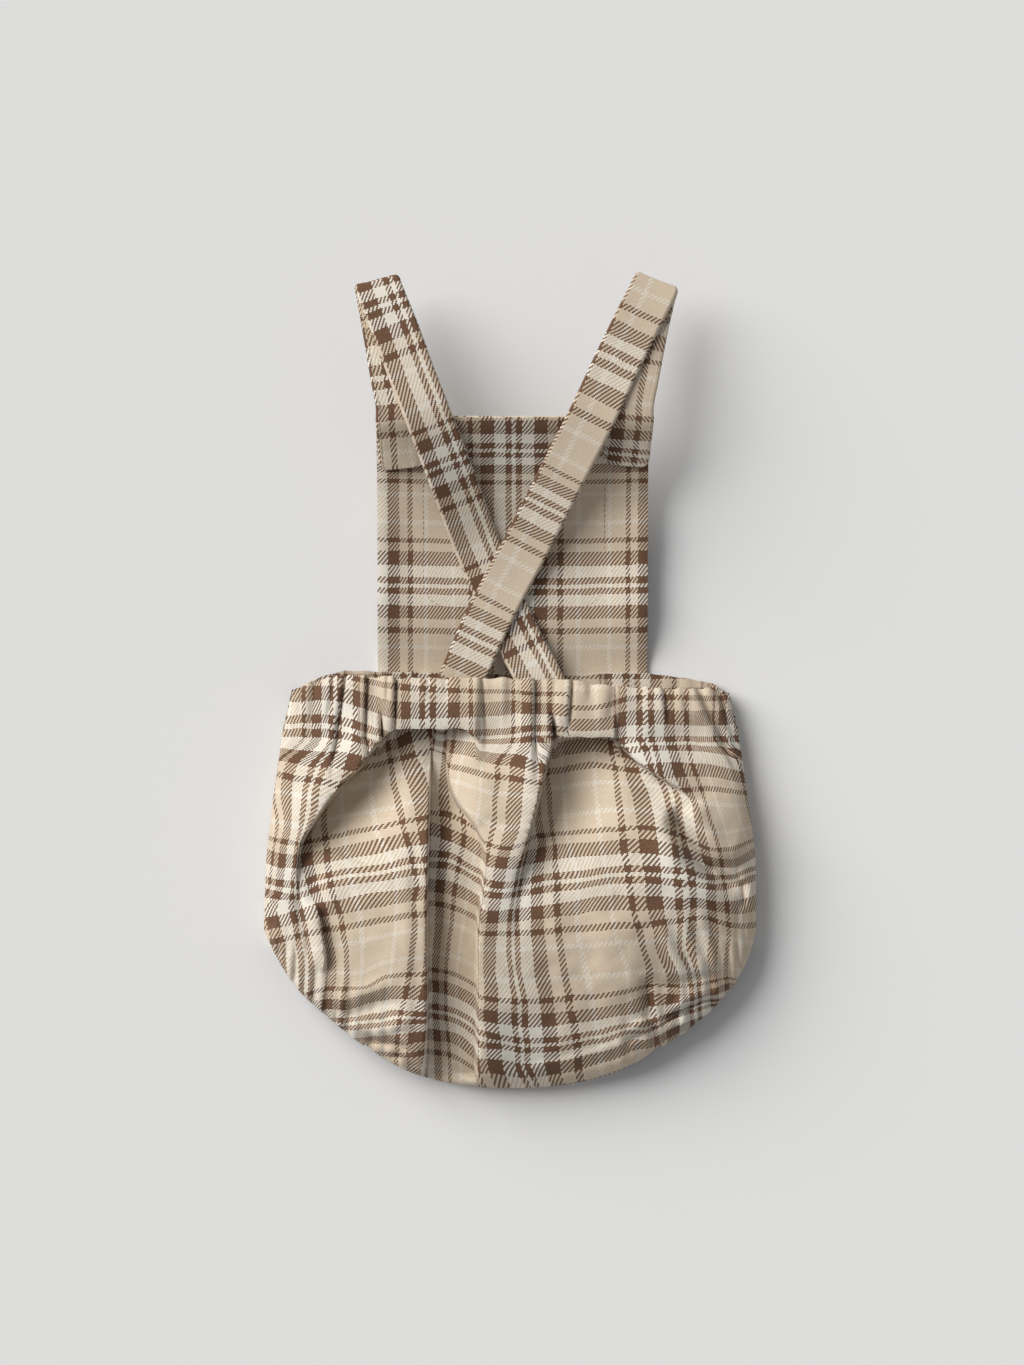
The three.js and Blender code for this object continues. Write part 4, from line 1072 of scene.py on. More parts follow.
def yarn_ramp(tree, place, cloth):
    """Colour of the yarn at a share of the check's repeat."""
    node = tree.nodes.new("ShaderNodeValToRGB")
    ramp = node.color_ramp
    ramp.interpolation = "CONSTANT"
    pale = tuple(mix(np.array(cloth.beige), np.array(cloth.cream), PALE_SHARE))
    colours = {"brown": cloth.brown, "beige": cloth.beige, "cream": cloth.cream, "pale": pale}
    start = 0.0
    for number, (yarn, width) in enumerate(STRIPES):
        if number < 2:
            stop = ramp.elements[number]
            stop.position = start / REPEAT
        else:
            stop = ramp.elements.new(start / REPEAT)
        stop.color = (*colours[yarn], 1.0)
        start += width
    feed(tree, node.inputs[0], place)
    return node.outputs[0]


def mix_colour(tree, share, first, second, blend="MIX"):
    node = tree.nodes.new("ShaderNodeMix")
    node.data_type = "RGBA"
    node.blend_type = blend
    feed(tree, node.inputs["Factor"], share)
    feed(tree, node.inputs[6], first)
    feed(tree, node.inputs[7], second)
    return node.outputs[2]


def noise(tree, vector, scale, detail=2.0, flat=True):
    node = tree.nodes.new("ShaderNodeTexNoise")
    node.noise_dimensions = "2D" if flat else "3D"
    node.inputs["Scale"].default_value = scale
    node.inputs["Detail"].default_value = detail
    feed(tree, node.inputs["Vector"], vector)
    return node


def new_material(name, roughness):
    """A new material with its node tree and its shader."""
    material = bpy.data.materials.new(name)
    material.use_nodes = True
    shader = material.node_tree.nodes["Principled BSDF"]
    shader.inputs["Roughness"].default_value = roughness
    return material, material.node_tree, shader


def raise_relief(tree, shader, height, strength, distance):
    bump = tree.nodes.new("ShaderNodeBump")
    bump.inputs["Strength"].default_value = strength
    bump.inputs["Distance"].default_value = distance
    feed(tree, bump.inputs["Height"], height)
    feed(tree, shader.inputs["Normal"], bump.outputs[0])


def two_shades(tree, shader, share, dark_part, colour):
    """Colours a shader between a darker part of a colour and the colour itself."""
    dark = tuple(dark_part * part for part in colour)
    shades = mix_colour(tree, share, (*dark, 1.0), (*colour, 1.0))
    feed(tree, shader.inputs["Base Color"], shades)


def check_twill(cloth):
    """Two-up two-down twill in the check's yarns: colour and height from cloth coordinates."""
    name = "Check twill"
    if name in bpy.data.node_groups:
        return bpy.data.node_groups[name]
    tree = bpy.data.node_groups.new(name, "ShaderNodeTree")
    tree.interface.new_socket("Weave", in_out="INPUT", socket_type="NodeSocketVector")
    tree.interface.new_socket("Colour", in_out="OUTPUT", socket_type="NodeSocketColor")
    tree.interface.new_socket("Height", in_out="OUTPUT", socket_type="NodeSocketFloat")
    weave = tree.nodes.new("NodeGroupInput").outputs["Weave"]
    leave = tree.nodes.new("NodeGroupOutput")

    def maths(operation, *values, clamp=False):
        return calculate(tree, operation, *values, clamp=clamp)

    apart = tree.nodes.new("ShaderNodeSeparateXYZ")
    feed(tree, apart.inputs[0], weave)
    wander = noise(tree, weave, 9.0).outputs[0]
    sway = maths("MULTIPLY", maths("SUBTRACT", wander, 0.5), YARN_SWAY)
    across = maths("ADD", apart.outputs[0], sway)
    down = maths("SUBTRACT", apart.outputs[1], sway)
    warp_place = maths("MULTIPLY", across, float(cloth.warp_yarns))
    weft_place = maths("MULTIPLY", down, float(cloth.weft_yarns))
    warp_number = maths("FLOOR", warp_place)
    weft_number = maths("FLOOR", weft_place)

    turn = maths("FLOORED_MODULO", maths("ADD", warp_number, weft_number), 4.0)
    warp_on_top = maths("LESS_THAN", turn, 1.5)
    weft_on_top = maths("SUBTRACT", 1.0, warp_on_top)

    def on_top(warp, weft):
        return maths("ADD", maths("MULTIPLY", warp_on_top, warp),
                     maths("MULTIPLY", weft_on_top, weft))

    def yarn_at(number, count):
        middle = maths("DIVIDE", maths("ADD", number, 0.5), float(count))
        return yarn_ramp(tree, maths("FRACT", middle), cloth)

    def roundness(place):
        middle = maths("SUBTRACT", maths("FRACT", place), 0.5)
        return maths("SUBTRACT", 1.0, maths("MULTIPLY", maths("MULTIPLY", middle, middle), 4.0))

    def spinning(x, y, scale):
        return noise(tree, combine(tree, x, y), scale).outputs[0]

    woven = mix_colour(tree, warp_on_top, yarn_at(weft_number, cloth.weft_yarns),
                       yarn_at(warp_number, cloth.warp_yarns))
    height = on_top(roundness(warp_place), roundness(weft_place))
    # Each yarn is spun a little lighter or darker along its length.
    spin = on_top(spinning(warp_number, maths("MULTIPLY", down, 40.0), 0.83),
                  spinning(maths("MULTIPLY", across, 40.0), weft_number, 0.79))
    fuzz = noise(tree, weave, 210.0, 3.0).outputs[0]
    cloud = noise(tree, weave, 4.0, 3.0).outputs[0]
    # Painted shade: the yarns' roundness makes each yarn darker towards its edges, where shade
    # falls between the yarns.
    tone = maths("MULTIPLY_ADD", height, PAINTED_YARN_SHADE, BASE_TONE)
    tone = maths("MULTIPLY_ADD", spin, SPIN_TONE, tone)
    tone = maths("MULTIPLY_ADD", fuzz, FUZZ_TONE, tone)
    tone = maths("MULTIPLY_ADD", cloud, CLOUD_TONE, maths("SUBTRACT", tone, TONE_TAKEN_OFF))
    grey = tree.nodes.new("ShaderNodeCombineColor")
    for socket in grey.inputs[:3]:
        feed(tree, socket, tone)
    shaded = mix_colour(tree, 1.0, woven, grey.outputs[0], "MULTIPLY")

    # Raised nap: pale fibres brushed up over every yarn.
    nap = maths("MULTIPLY", maths("SUBTRACT", fuzz, 0.42, clamp=True), cloth.nap * 3.0,
                clamp=True)
    brushed = mix_colour(tree, nap, shaded, (*cloth.beige, 1.0))
    feed(tree, leave.inputs["Colour"], brushed)
    feed(tree, leave.inputs["Height"], maths("MULTIPLY_ADD", fuzz, 0.7, height))
    return tree


def cloth_material(cloth):
    """Brushed check twill, the same for every sheet."""
    name = "Brushed check twill"
    if name in bpy.data.materials:
        return bpy.data.materials[name]
    material, tree, shader = new_material(name, 0.92)
    shader.inputs["Specular IOR Level"].default_value = 0.22
    shader.inputs["Sheen Weight"].default_value = cloth.sheen
    shader.inputs["Sheen Roughness"].default_value = 0.45
    place = tree.nodes.new("ShaderNodeUVMap")
    place.uv_map = "Weave"
    weave = tree.nodes.new("ShaderNodeGroup")
    weave.node_tree = check_twill(cloth)
    feed(tree, weave.inputs["Weave"], place.outputs[0])
    feed(tree, shader.inputs["Base Color"], weave.outputs["Colour"])
    raise_relief(tree, shader, weave.outputs["Height"], CLOTH_RELIEF, 0.0002)
    return material


def yarn_material(name, colour):
    """Twisted sewing thread, with painted shade in the grooves of its twist."""
    if name in bpy.data.materials:
        return bpy.data.materials[name]
    material, tree, shader = new_material(name, 0.6)
    shader.inputs["Sheen Weight"].default_value = 0.15
    place = tree.nodes.new("ShaderNodeTexCoord")
    twist = tree.nodes.new("ShaderNodeTexWave")
    twist.bands_direction = "DIAGONAL"
    twist.inputs["Scale"].default_value = 1400.0
    twist.inputs["Distortion"].default_value = 1.5
    feed(tree, twist.inputs["Vector"], place.outputs["Object"])
    # Painted shade: the thread is drawn darker in the grooves between the plies of its twist.
    two_shades(tree, shader, twist.outputs[1], 0.72, colour)
    raise_relief(tree, shader, twist.outputs[1], 0.3, 0.0001)
    return material


def button_material(colour):
    """Moulded plastic with a horn's drifting bands."""
    material, tree, shader = new_material("Horn button", 0.38)
    place = tree.nodes.new("ShaderNodeTexCoord")
    bands = noise(tree, place.outputs["Object"], 160.0, 4.0, flat=False)
    bands.inputs["Distortion"].default_value = 2.0
    two_shades(tree, shader, bands.outputs[0], 0.55, colour)
    return material


def floor_material(colour):
    """Pale paper with the faintest grain."""
    material, tree, shader = new_material("Pale floor", 0.9)
    shader.inputs["Specular IOR Level"].default_value = 0.1
    place = tree.nodes.new("ShaderNodeTexCoord")
    grain = noise(tree, place.outputs["Object"], 700.0, flat=False)
    two_shades(tree, shader, grain.outputs[0], 0.985, colour)
    return material


# ---- settings


def colour_setting(name, description, default):
    return FloatVectorProperty(name=name, description=description, subtype="COLOR", size=3,
                               min=0, max=1, default=default)


def length_setting(name, description, low, high, default):
    return FloatProperty(name=name, description=description, unit="LENGTH", min=low, max=high,
                         default=default)


def number_setting(name, description, high, default, **options):
    return FloatProperty(name=name, description=description, min=0, max=high, default=default,
                         **options)


def count_setting(name, description, default):
    return IntProperty(name=name, description=description, min=40, max=400, default=default)


class RomperClothSettings(PropertyGroup):
    """Yarns and finish of the check twill"""

    brown: colour_setting("Brown Yarn", "Colour of the dark stripes", (0.118, 0.047, 0.020))
    beige: colour_setting("Beige Yarn", "Colour of the ground", (0.66, 0.545, 0.412))
    cream: colour_setting("Cream Yarn", "Colour of the pale stripes", (0.81, 0.765, 0.675))
    warp_yarns: count_setting("Warp Yarns", "Yarns across one repeat of the check", 158)
    weft_yarns: count_setting("Weft Yarns", "Yarns down one repeat of the check", 126)
    nap: number_setting("Nap", "How much pale fibre is brushed up", 1, 0.25, subtype="FACTOR")
    sheen: number_setting("Sheen", "Soft light caught by the raised fibres", 1, 0.12,
                          subtype="FACTOR")


class RomperFoldSettings(PropertyGroup):
    """How strongly the cloth is folded"""

    depth: number_setting("Fold Depth", "Height of the folds, 1 as laid out", 2, 1.0)
    fold_over: number_setting("Fold Over", "How far pleat edges roll over, 1 as laid out",
                              1.5, 1.0)
    gather: number_setting("Gathers", "Height of the elastic's gathers, 1 as laid out", 2, 1.0)


class RomperSewingSettings(PropertyGroup):
    """Topstitching of the straps and bib"""

    thread: colour_setting("Thread", "Colour of the thread on straps and buttons",
                           (0.66, 0.56, 0.44))
    tonal: colour_setting("Tonal Thread", "Colour of the thread on the bib", (0.40, 0.30, 0.21))
    stitch: length_setting("Stitch Length", "Length of one stitch", 0.001, 0.006, 0.0022)
    gap: length_setting("Stitch Gap", "Space between two stitches", 0.0002, 0.003, 0.0008)
    thickness: length_setting("Thread Thickness", "Diameter of the thread", 0.0001, 0.001,
                              0.00042)


class RomperButtonSettings(PropertyGroup):
    """Four-hole buttons that hold the straps"""

    diameter: length_setting("Diameter", "Diameter of a button", 0.008, 0.03, 0.015)
    thickness: length_setting("Thickness", "Thickness of a button", 0.001, 0.005, 0.0024)
    colour: colour_setting("Colour", "Colour of the buttons", (0.22, 0.13, 0.07))


class RomperStudioSettings(PropertyGroup):
    """Floor, lights and camera"""

    floor: colour_setting("Floor", "Colour of the floor", (0.80, 0.80, 0.80))
    key: number_setting("Key Light", "Strength of the soft light from the upper left", 20, 3.6)
    softness: number_setting("Softness", "Angle that the key light spans", math.pi, 0.85,
                             subtype="ANGLE")
    fill: number_setting("Fill Light", "Strength of the even light all round", 5, 0.285)
    lens: FloatProperty(name="Lens", description="Focal length of the camera, in millimetres",
                        min=20, max=300, default=120)
    height: length_setting("Camera Height", "Height of the camera above the floor", 0.5, 6,
                           2.525)


# ---- pieces of the bloomers

# Where the back's grid is finer: share across, over what width, and how much finer.
FINER_ACROSS = ((0.37, 0.016, 1.8), (0.40, 0.022, 0.8), (0.445, 0.022, 0.9),
                (0.55, 0.03, 0.7), (0.17, 0.05, 0.4), (0.83, 0.05, 0.4))
HEM_ENDS = (0.08, 0.92)  # where a leg hem starts and ends along its opening
TOP_EDGE_TURN = 1.6  # how far the back casing's top edge turns down
TOP_EDGE_WAVE = 0.7  # how far gathers move a casing's top edge up and down the garment
FRONT_EDGE_WAVE = 0.5  # how much of that the front one's own gathers take back
FREE_EDGE_WAVE = 0.35  # how far they move the back casing's free lower edge
CUT_EDGE_GAP = 1.8 * SEAM / 150  # share of its length the front panel stops short of its hems
ON_FRONT_BIB = LAYER * 2 + SEAM * 2 + CASING_WALL / 2 + 0.4  # front casing, over the bib


class ROMPER_OT_back_panel(Operator):
    """Lay the folded back of the bloomers"""

    bl_idname = "romper.back_panel"
    bl_label = "Back Panel"

    def execute(self, context):
        scene = context.scene
        folds = scene.romper_folds
        across, along = np.meshgrid(finer_shares(284, FINER_ACROSS), np.linspace(0, 1, 155))
        seam = back_shape(across[:1], np.zeros(across[:1].shape), folds)
        top = -UNDER_CASING * casing_hem(seam[3])[1]
        down = mix(top, hem_start(across), 1 - (1 - along) ** 1.2)
        x, y, z, flat_x, flat_y, turned = back_shape(across, down, folds)
        found = back_weave(flat_x, flat_y, turned)
        found = run_on(found, seam[3], flat_y, back_weave(*seam[3:]))
        back = sheet_mesh("back_cloth", np.stack([x, y, z], -1), np.stack(found, -1), CLOTH,
                          cloth_material(scene.romper_cloth))
        dress(back, "back_panel")
        return {"FINISHED"}


class ROMPER_OT_front_panel(Operator):
    """Lay the front of the bloomers on the surface"""

    bl_idname = "romper.front_panel"
    bl_label = "Front Panel"

    def execute(self, context):
        scene = context.scene
        across, along = grid(110, 60)
        start = hem_start(across)
        end = np.where(start < 1, start - CUT_EDGE_GAP, 1.0)
        down = end * (1 - (1 - along) ** 1.3)
        x, y, z = front_shape(across, down, scene.romper_folds)
        front = sheet_mesh("front_cloth", np.stack([x, y, z], -1),
                           np.stack(front_weave(x, y), -1), CLOTH,
                           cloth_material(scene.romper_cloth))
        dress(front, "front_panel")
        return {"FINISHED"}


def leg_hem_shape(panel, hand, folds):
    """Middle surface of a leg hem, which carries its panel on, and its cloth coordinates."""
    across, along = grid(150, 10)
    inner, outer = (LEG_START + end * (LEG_END - LEG_START) for end in HEM_ENDS)
    reach = mix(outer, inner, across) if hand < 0 else mix(inner, outer, across)
    share = (hand * reach + 1) / 2
    down = mix(hem_start(share), 1.0, along)
    if panel == "back":
        x, y, z, flat_x, flat_y, turned = back_shape(share, down, folds)
        return np.stack([x, y, z], -1), np.stack(back_weave(flat_x, flat_y, turned), -1)
    x, y, z = front_shape(share, down, folds)
    wave = uneven_waves(across, LEG_WAVES)
    z += FRONT_HEM_GATHER * (1 + wave) * along * np.sin(math.pi * across) * folds.gather
    return np.stack([x, y, z], -1), np.stack(front_weave(x, y), -1)


class ROMPER_OT_leg_hems(Operator):
    """Gather the four elasticated leg hems"""

    bl_idname = "romper.leg_hems"
    bl_label = "Leg Hems"

    def execute(self, context):
        scene = context.scene
        material = cloth_material(scene.romper_cloth)
        for panel in ("back", "front"):
            for name, hand in (("left", -1), ("right", 1)):
                points, weave = leg_hem_shape(panel, hand, scene.romper_folds)
                hem = sheet_mesh(f"leg_hem_{panel}_{name}_cloth", points, weave, CLOTH, material)
                dress(hem, f"leg_hem_{panel}_{name}")
        return {"FINISHED"}


def casing_place(across, along, top_edge, waves):
    """Place across and top edge of a waist casing, its gathers and its rounding at the sides."""
    side = across * 2 - 1
    out, up = roll(np.abs(side), PUFF_SQUARENESS)
    seam_x, _ = plan(np.sign(side) * out, np.zeros(side.shape))
    x = seam_x - np.sign(side) * CASING_NARROWING * (1 - along) * np.abs(side) ** 2
    wave = uneven_waves(across, waves)
    return x, read_table(top_edge, x) + wave * TOP_EDGE_WAVE, wave, up


def back_casing_shape(folds):
    """Middle surface of the back waist casing, sewn to the panel where its edge isn't free."""
    across, along = grid(420, 30)
    x, top, wave, up = casing_place(across, along, CASING_TOP_BACK, BACK_WAIST_WAVES)
    seam = back_shape(across[:1], np.zeros(across[:1].shape), folds)
    free, lift, _ = casing_hem(seam[3])
    y = mix(top, WAIST_LINE + lift + FREE_EDGE_WAVE * wave * free, along)
    pleats = pleat_height(x, y) * up ** 0.5 * folds.gather
    z = mix(SEAM_HEIGHT + SEAM / 2, WAIST_HEIGHT + CASING_HEM_RISE * along, up)
    z = z + CASING_BULGE * mix(0.3, 1.0, free) * np.sin(math.pi * along) ** 0.7 * up
    z = z + pleats + WAIST_GATHER * wave * (1 - along) * up ** 0.5 * folds.gather
    z = z - TOP_EDGE_TURN * hump(along, 0.07) * up
    y = y + 0.3 * pleats * (1 - along)
    sewn = ease(0.5, 1.0, along) * (1 - free)
    z = mix(z, seam[2], sewn)
    x = x + (seam[0] - seam[3]) * sewn
    y = y + (seam[1] - seam[4]) * sewn
    return x, y, z


def front_casing_shape(folds):
    """Middle surface of the front waist casing, over the bib's end and down to the surface."""
    across, along = grid(300, 16)
    x, top, wave, _ = casing_place(across, along, CASING_TOP_FRONT, FRONT_WAIST_WAVES)
    y = mix(top - FRONT_EDGE_WAVE * wave, WAIST_LINE + SEAM, along)
    up = roll(np.abs(across * 2 - 1), FLOOR_SQUARENESS)[1]
    lying = mix(ON_FRONT_BIB, CASING_WALL / 2, ease(0.42, 0.95, along))
    z = mix(SEAM_HEIGHT - SEAM / 2, lying, up)
    z = z + FRONT_WAIST_GATHER * (1 + wave) * (1 - along) * up * folds.gather
    return x, y, z


class ROMPER_OT_waist_casings(Operator):
    """Gather both waist casings over their elastic"""

    bl_idname = "romper.waist_casings"
    bl_label = "Waist Casings"

    def execute(self, context):
        scene = context.scene
        material = cloth_material(scene.romper_cloth)
        x, y, z = back_casing_shape(scene.romper_folds)
        back = sheet_mesh("waist_casing_back_cloth", np.stack([x, y, z], -1),
                          np.stack(casing_weave(x, y), -1), CLOTH, material)
        dress(back, "waist_casing_back")
        x, y, z = front_casing_shape(scene.romper_folds)
        front = sheet_mesh("waist_casing_front_cloth", np.stack([x, y, z], -1),
                           np.stack(front_casing_weave(x, y), -1), CASING_WALL, material)
        dress(front, "waist_casing_front")
        return {"FINISHED"}


# ---- bib

BIB_TUCKED = LAYER / 2  # height of the bib's outer layer in the waist, and on its pocket
BIB_ON_POCKET = LAYER * 1.5 + SEAM
BIB_LIFT = 5.5  # how far the bib's middle stands off the surface
# How much more its edges do, as a share of that: where it starts and ends across the bib.
BIB_EDGE_LIFT = {"right": (0.9, 44, 74), "left": (0.4, -54, -74)}
BIB_EDGE_TURN = (5.0, 2.2, 0.35)  # ridge of the lining's turned edge: place, width, height
BIB_EDGE_DROP = (0.9, 0.35)  # how its very edge turns down: width, height
FRONT_CHECK_SHIFT = 31.0


def bib_height(y):
    """Height and slope of the bib's outer layer at a height on it."""
    curl = np.maximum(y - BIB_BEND, 0) / (BIB_TOP - BIB_BEND)
    slope = BIB_RISE * BIB_CURL * curl ** (BIB_CURL - 1) / (BIB_TOP - BIB_BEND)
    lift = mix(BIB_TUCKED, BIB_ON_POCKET, ease(8, 30, y))
    return lift + BIB_RISE * curl ** BIB_CURL, slope


def bib_lift(x, y):
    """How far the bib stands off the surface between the waist and its bend."""
    along = ease(3, 48, y) * (1 - 0.6 * ease(80, 140, y))
    right, left = BIB_EDGE_LIFT["right"], BIB_EDGE_LIFT["left"]
    edges = right[0] * ease(*right[1:], x) + left[0] * (1 - ease(left[2], left[1], x))
    return BIB_LIFT * along * (1 + edges * (1 - ease(84, 106, y)))


def on_bib(x, y, moved):
    """Points on the bib, moved out from its outer layer along its own slope."""
    x, y = np.broadcast_arrays(np.asarray(x, float), np.asarray(y, float))
    z, slope = bib_height(y)
    z = z + bib_lift(x, y)
    length = np.sqrt(1 + slope ** 2)
    return np.stack([x, y - slope / length * moved, z + moved / length], -1)


def bib_layer(moved, folds):
    """Grid of one layer of the bib: its points, and their places across and up it."""
    across, along = grid(90, 110)
    x = BIB_CENTRE - BIB_WIDTH / 2 + BIB_WIDTH * across
    y = mix(BIB_TOP, BIB_BOTTOM, along)
    out = np.full(x.shape, moved)
    if moved:
        edge = np.minimum(np.minimum(across, 1 - across) * BIB_WIDTH,
                          along * (BIB_TOP - BIB_BOTTOM))
        seed, longest, shortest, height = LINING_RUMPLE
        swell = height * rumple(x, y, seed, longest, shortest)
        out += swell * ease(2, 16, edge) * folds.depth
        place, width, ridge = BIB_EDGE_TURN
        out += ridge * hump(edge - place, width)
        width, drop = BIB_EDGE_DROP
        out -= drop * hump(edge, width)
    return on_bib(x, y, out), x, y


def pocket_shape():
    """Points of the patch pocket under the bib, with its rounded lower corners, and x and y."""
    across, along = grid(60, 50)
    corner = POCKET["corner"]
    y = mix(POCKET["top"], POCKET["bottom"], 1 - (1 - along) ** 1.6)
    short = np.maximum(corner - (y - POCKET["bottom"]), 0)
    inset = corner - np.sqrt(np.maximum(corner ** 2 - short ** 2, 0))
    centre = (POCKET["left"] + POCKET["right"]) / 2
    half = (POCKET["right"] - POCKET["left"]) / 2
    x = centre + (half - inset) * (across * 2 - 1)
    return on_bib(x, y, -(LAYER + SEAM)), x, y


class ROMPER_OT_bib(Operator):
    """Lay both layers of the bib and its pocket"""

    bl_idname = "romper.bib"
    bl_label = "Bib"

    def execute(self, context):
        scene = context.scene
        material = cloth_material(scene.romper_cloth)
        for node, moved in (("bib_front", 0.0), ("bib_lining", LAYER + SEAM)):
            points, x, y = bib_layer(moved, scene.romper_folds)
            s, t = bib_weave(x, y)
            if node == "bib_front":
                s = s + FRONT_CHECK_SHIFT
            sheet = sheet_mesh(f"{node}_cloth", points, np.stack([s, t], -1), LAYER, material)
            dress(sheet, node)
        points, x, y = pocket_shape()
        pocket = sheet_mesh("bib_pocket_cloth", points, np.stack(pocket_weave(x, y), -1),
                            LAYER, material)
        dress(pocket, "bib_pocket")
        return {"FINISHED"}


# ---- straps

STRAP_WIDTH = 25.5
STRAP_ON_BIB = LAYER * 1.5 + SEAM * 2 + STRAP_WALL / 2
PRESSED = 0.93  # how flat a strap is pressed, as a share of its thickness
STRAP_SPANS = 24  # how many faces run across each side of a strap
STRAP_ROWS = 300
STRAP_FOLD_ROUNDING = 1.0  # how far the corners of a strap's top fold are rounded off
STRAP_END_CORNER = 6.0  # radius of the corners at a strap's buttoned end
STRAP_EDGE_ROUNDING = 1.1  # radius of its long edges
STRAP_CROWN = 0.30  # how far a strap's middle swells
STITCH_INSET = 2.0  # from a strap's edge to its topstitching, which draws a groove in
STITCH_GROOVE = (0.45, 0.30)  # width and depth of that groove
STRAP_WELT = (1.0, 0.5, 0.16)  # ridge outside it: distance from the edge, width and height
STITCHED = (0.004, 0.995)  # where a strap's long rows of stitches start and end along it
END_ROW = 0.012  # share of a strap's length to the stitches across its end
END_ROW_INSET = 3.0  # from a strap's edges to the ends of that row


def strap_stations(hand):
    """Stations of a strap: x, y, z, turn in degrees and slope of the bib under it."""
    start_x, start_y, turn = STRAP_ROUTES[hand]["start"]
    route = STRAP_ROUTES[hand]["route"]
    stations = []
    for share in (0, 0.33, 0.67, 1):
        y = mix(start_y, BIB_TOP, share)
        x = mix(start_x, route[0][0], share)
        place = on_bib(x, y, STRAP_ON_BIB)
        stations.append((*place, turn, float(bib_height(y)[1])))
    stations += [(*row, 0.0) for row in route]
    return np.array(stations, float)


class StrapRun:
    """A strap's middle line with its turn, for placing points across and along it."""

    def __init__(self, hand):
        self.stations = strap_stations(hand)
        self.curve = SmoothCurve(self.stations[:, :3])
        self.steps = len(self.stations) - 1

    def at(self, along, offset, height):
        """Points at a share along, an offset across and a height off the strap's middle."""
        along, offset, height = np.broadcast_arrays(along, offset, height)
        middle = self.curve.at(along)
        before, after = np.clip(along - 0.002, 0, 1), np.clip(along + 0.002, 0, 1)
        ahead = self.curve.at(after) - self.curve.at(before)
        place = along * self.steps
        station = np.minimum(place.astype(int), self.steps - 1)
        low, high = self.stations[station], self.stations[station + 1]
        share = place - station
        turn = np.radians(mix(low[..., 3], high[..., 3], share))
        slope = mix(low[..., 4], high[..., 4], share)
        width = np.stack([np.cos(turn), np.sin(turn), np.sin(turn) * slope], -1)
        out = np.cross(width, ahead)
        out /= np.linalg.norm(out, axis=-1, keepdims=True)
        return middle + width * offset[..., None] + out * height[..., None]

    def stitch_line(self, along, offset):
        """A line for stitches on the strap's face, and the way out of the cloth along it."""
        face = self.at(along, offset, STRAP_WALL / 2 * PRESSED)
        return face, self.at(along, offset, STRAP_WALL / 2 + 1.0) - face


def strap_weave(hand, along, offset, steps, y):
    """Cloth coordinates of a strap, which change at its top where it turns over."""
    cut = STRAP_CLOTH[hand]
    over = ease(STRAP_FOLD_STATION - 0.55, STRAP_FOLD_STATION + 0.25, along * steps)
    s = offset + STRAP_WIDTH / 2 + mix(cut["lower_edge"], cut["upper_edge"], over)
    t = mix(read_table(cut["lower"], y), read_table(cut["upper"], y), over)
    return s, t


def strap_mesh(hand, material, folds):
    """Rounded tube of cloth along the strap, pressed flat, with turned and stitched edges."""
    run = StrapRun(hand)
    along = np.linspace(0, 1, STRAP_ROWS + 1)
    from_end = lengths_along(run.curve.at(along))
    upper = np.linspace(-1, 1, STRAP_SPANS + 1)
    ring = np.concatenate([upper, upper[::-1]])
    along_grid, offset_share = np.meshgrid(along, ring, indexing="ij")
    side = np.where(np.arange(len(ring)) <= STRAP_SPANS, 1.0, -1.0)
    corner = np.maximum(STRAP_END_CORNER - from_end, 0)
    inset = STRAP_END_CORNER - np.sqrt(STRAP_END_CORNER ** 2 - corner ** 2)
    turning = hump(along * run.steps - STRAP_FOLD_STATION, 0.3)
    half = (STRAP_WIDTH / 2 - inset * 0.55 - STRAP_FOLD_ROUNDING * turning)[:, None]
    offset = offset_share * half
    edge = (1 - np.abs(offset_share)) * half
    bent = 1 - np.minimum(edge / STRAP_EDGE_ROUNDING, 1)
    profile = np.sqrt(np.clip(1 - bent ** 2, 0, 1))
    crown = STRAP_CROWN * (1 - offset_share ** 2)
    groove = -STITCH_GROOVE[1] * hump(edge - STITCH_INSET, STITCH_GROOVE[0]) * (side > 0)
    welt = STRAP_WELT[2] * hump(edge - STRAP_WELT[0], STRAP_WELT[1]) * (side > 0)
    seed, longest, shortest, height = STRAP_RUMPLES[hand]
    ripple = height * rumple(offset, from_end[:, None], seed, longest, shortest) * (side > 0)
    raised = (crown + groove + welt + ripple * folds.depth) * profile
    points = run.at(along_grid, offset, side * STRAP_WALL / 2 * profile * PRESSED + raised)
    middle_y = run.curve.at(along_grid)[..., 1]
    weave = strap_weave(hand, along_grid, offset, run.steps, middle_y)

    index = np.arange(along_grid.size).reshape(along_grid.shape)
    beside = np.roll(index, -1, axis=1)
    faces = np.stack([index[:-1], index[1:], beside[1:], beside[:-1]], -1).reshape(-1, 4).tolist()
    faces += [index[0].tolist(), index[-1][::-1].tolist()]
    strap = add_mesh(f"strap_{hand}_cloth", points.reshape(-1, 3), faces,
                     np.stack(weave, -1).reshape(-1, 2), material)
    face_outward(strap, merge=True)
    return strap, run


# One stitch: places along it as shares of its length, and its thickness there.
STITCH_SECTIONS = ((-0.5, 0.35), (-0.42, 0.85), (0.0, 1.15), (0.42, 0.85), (0.5, 0.35))
STITCH_SIDES = 6


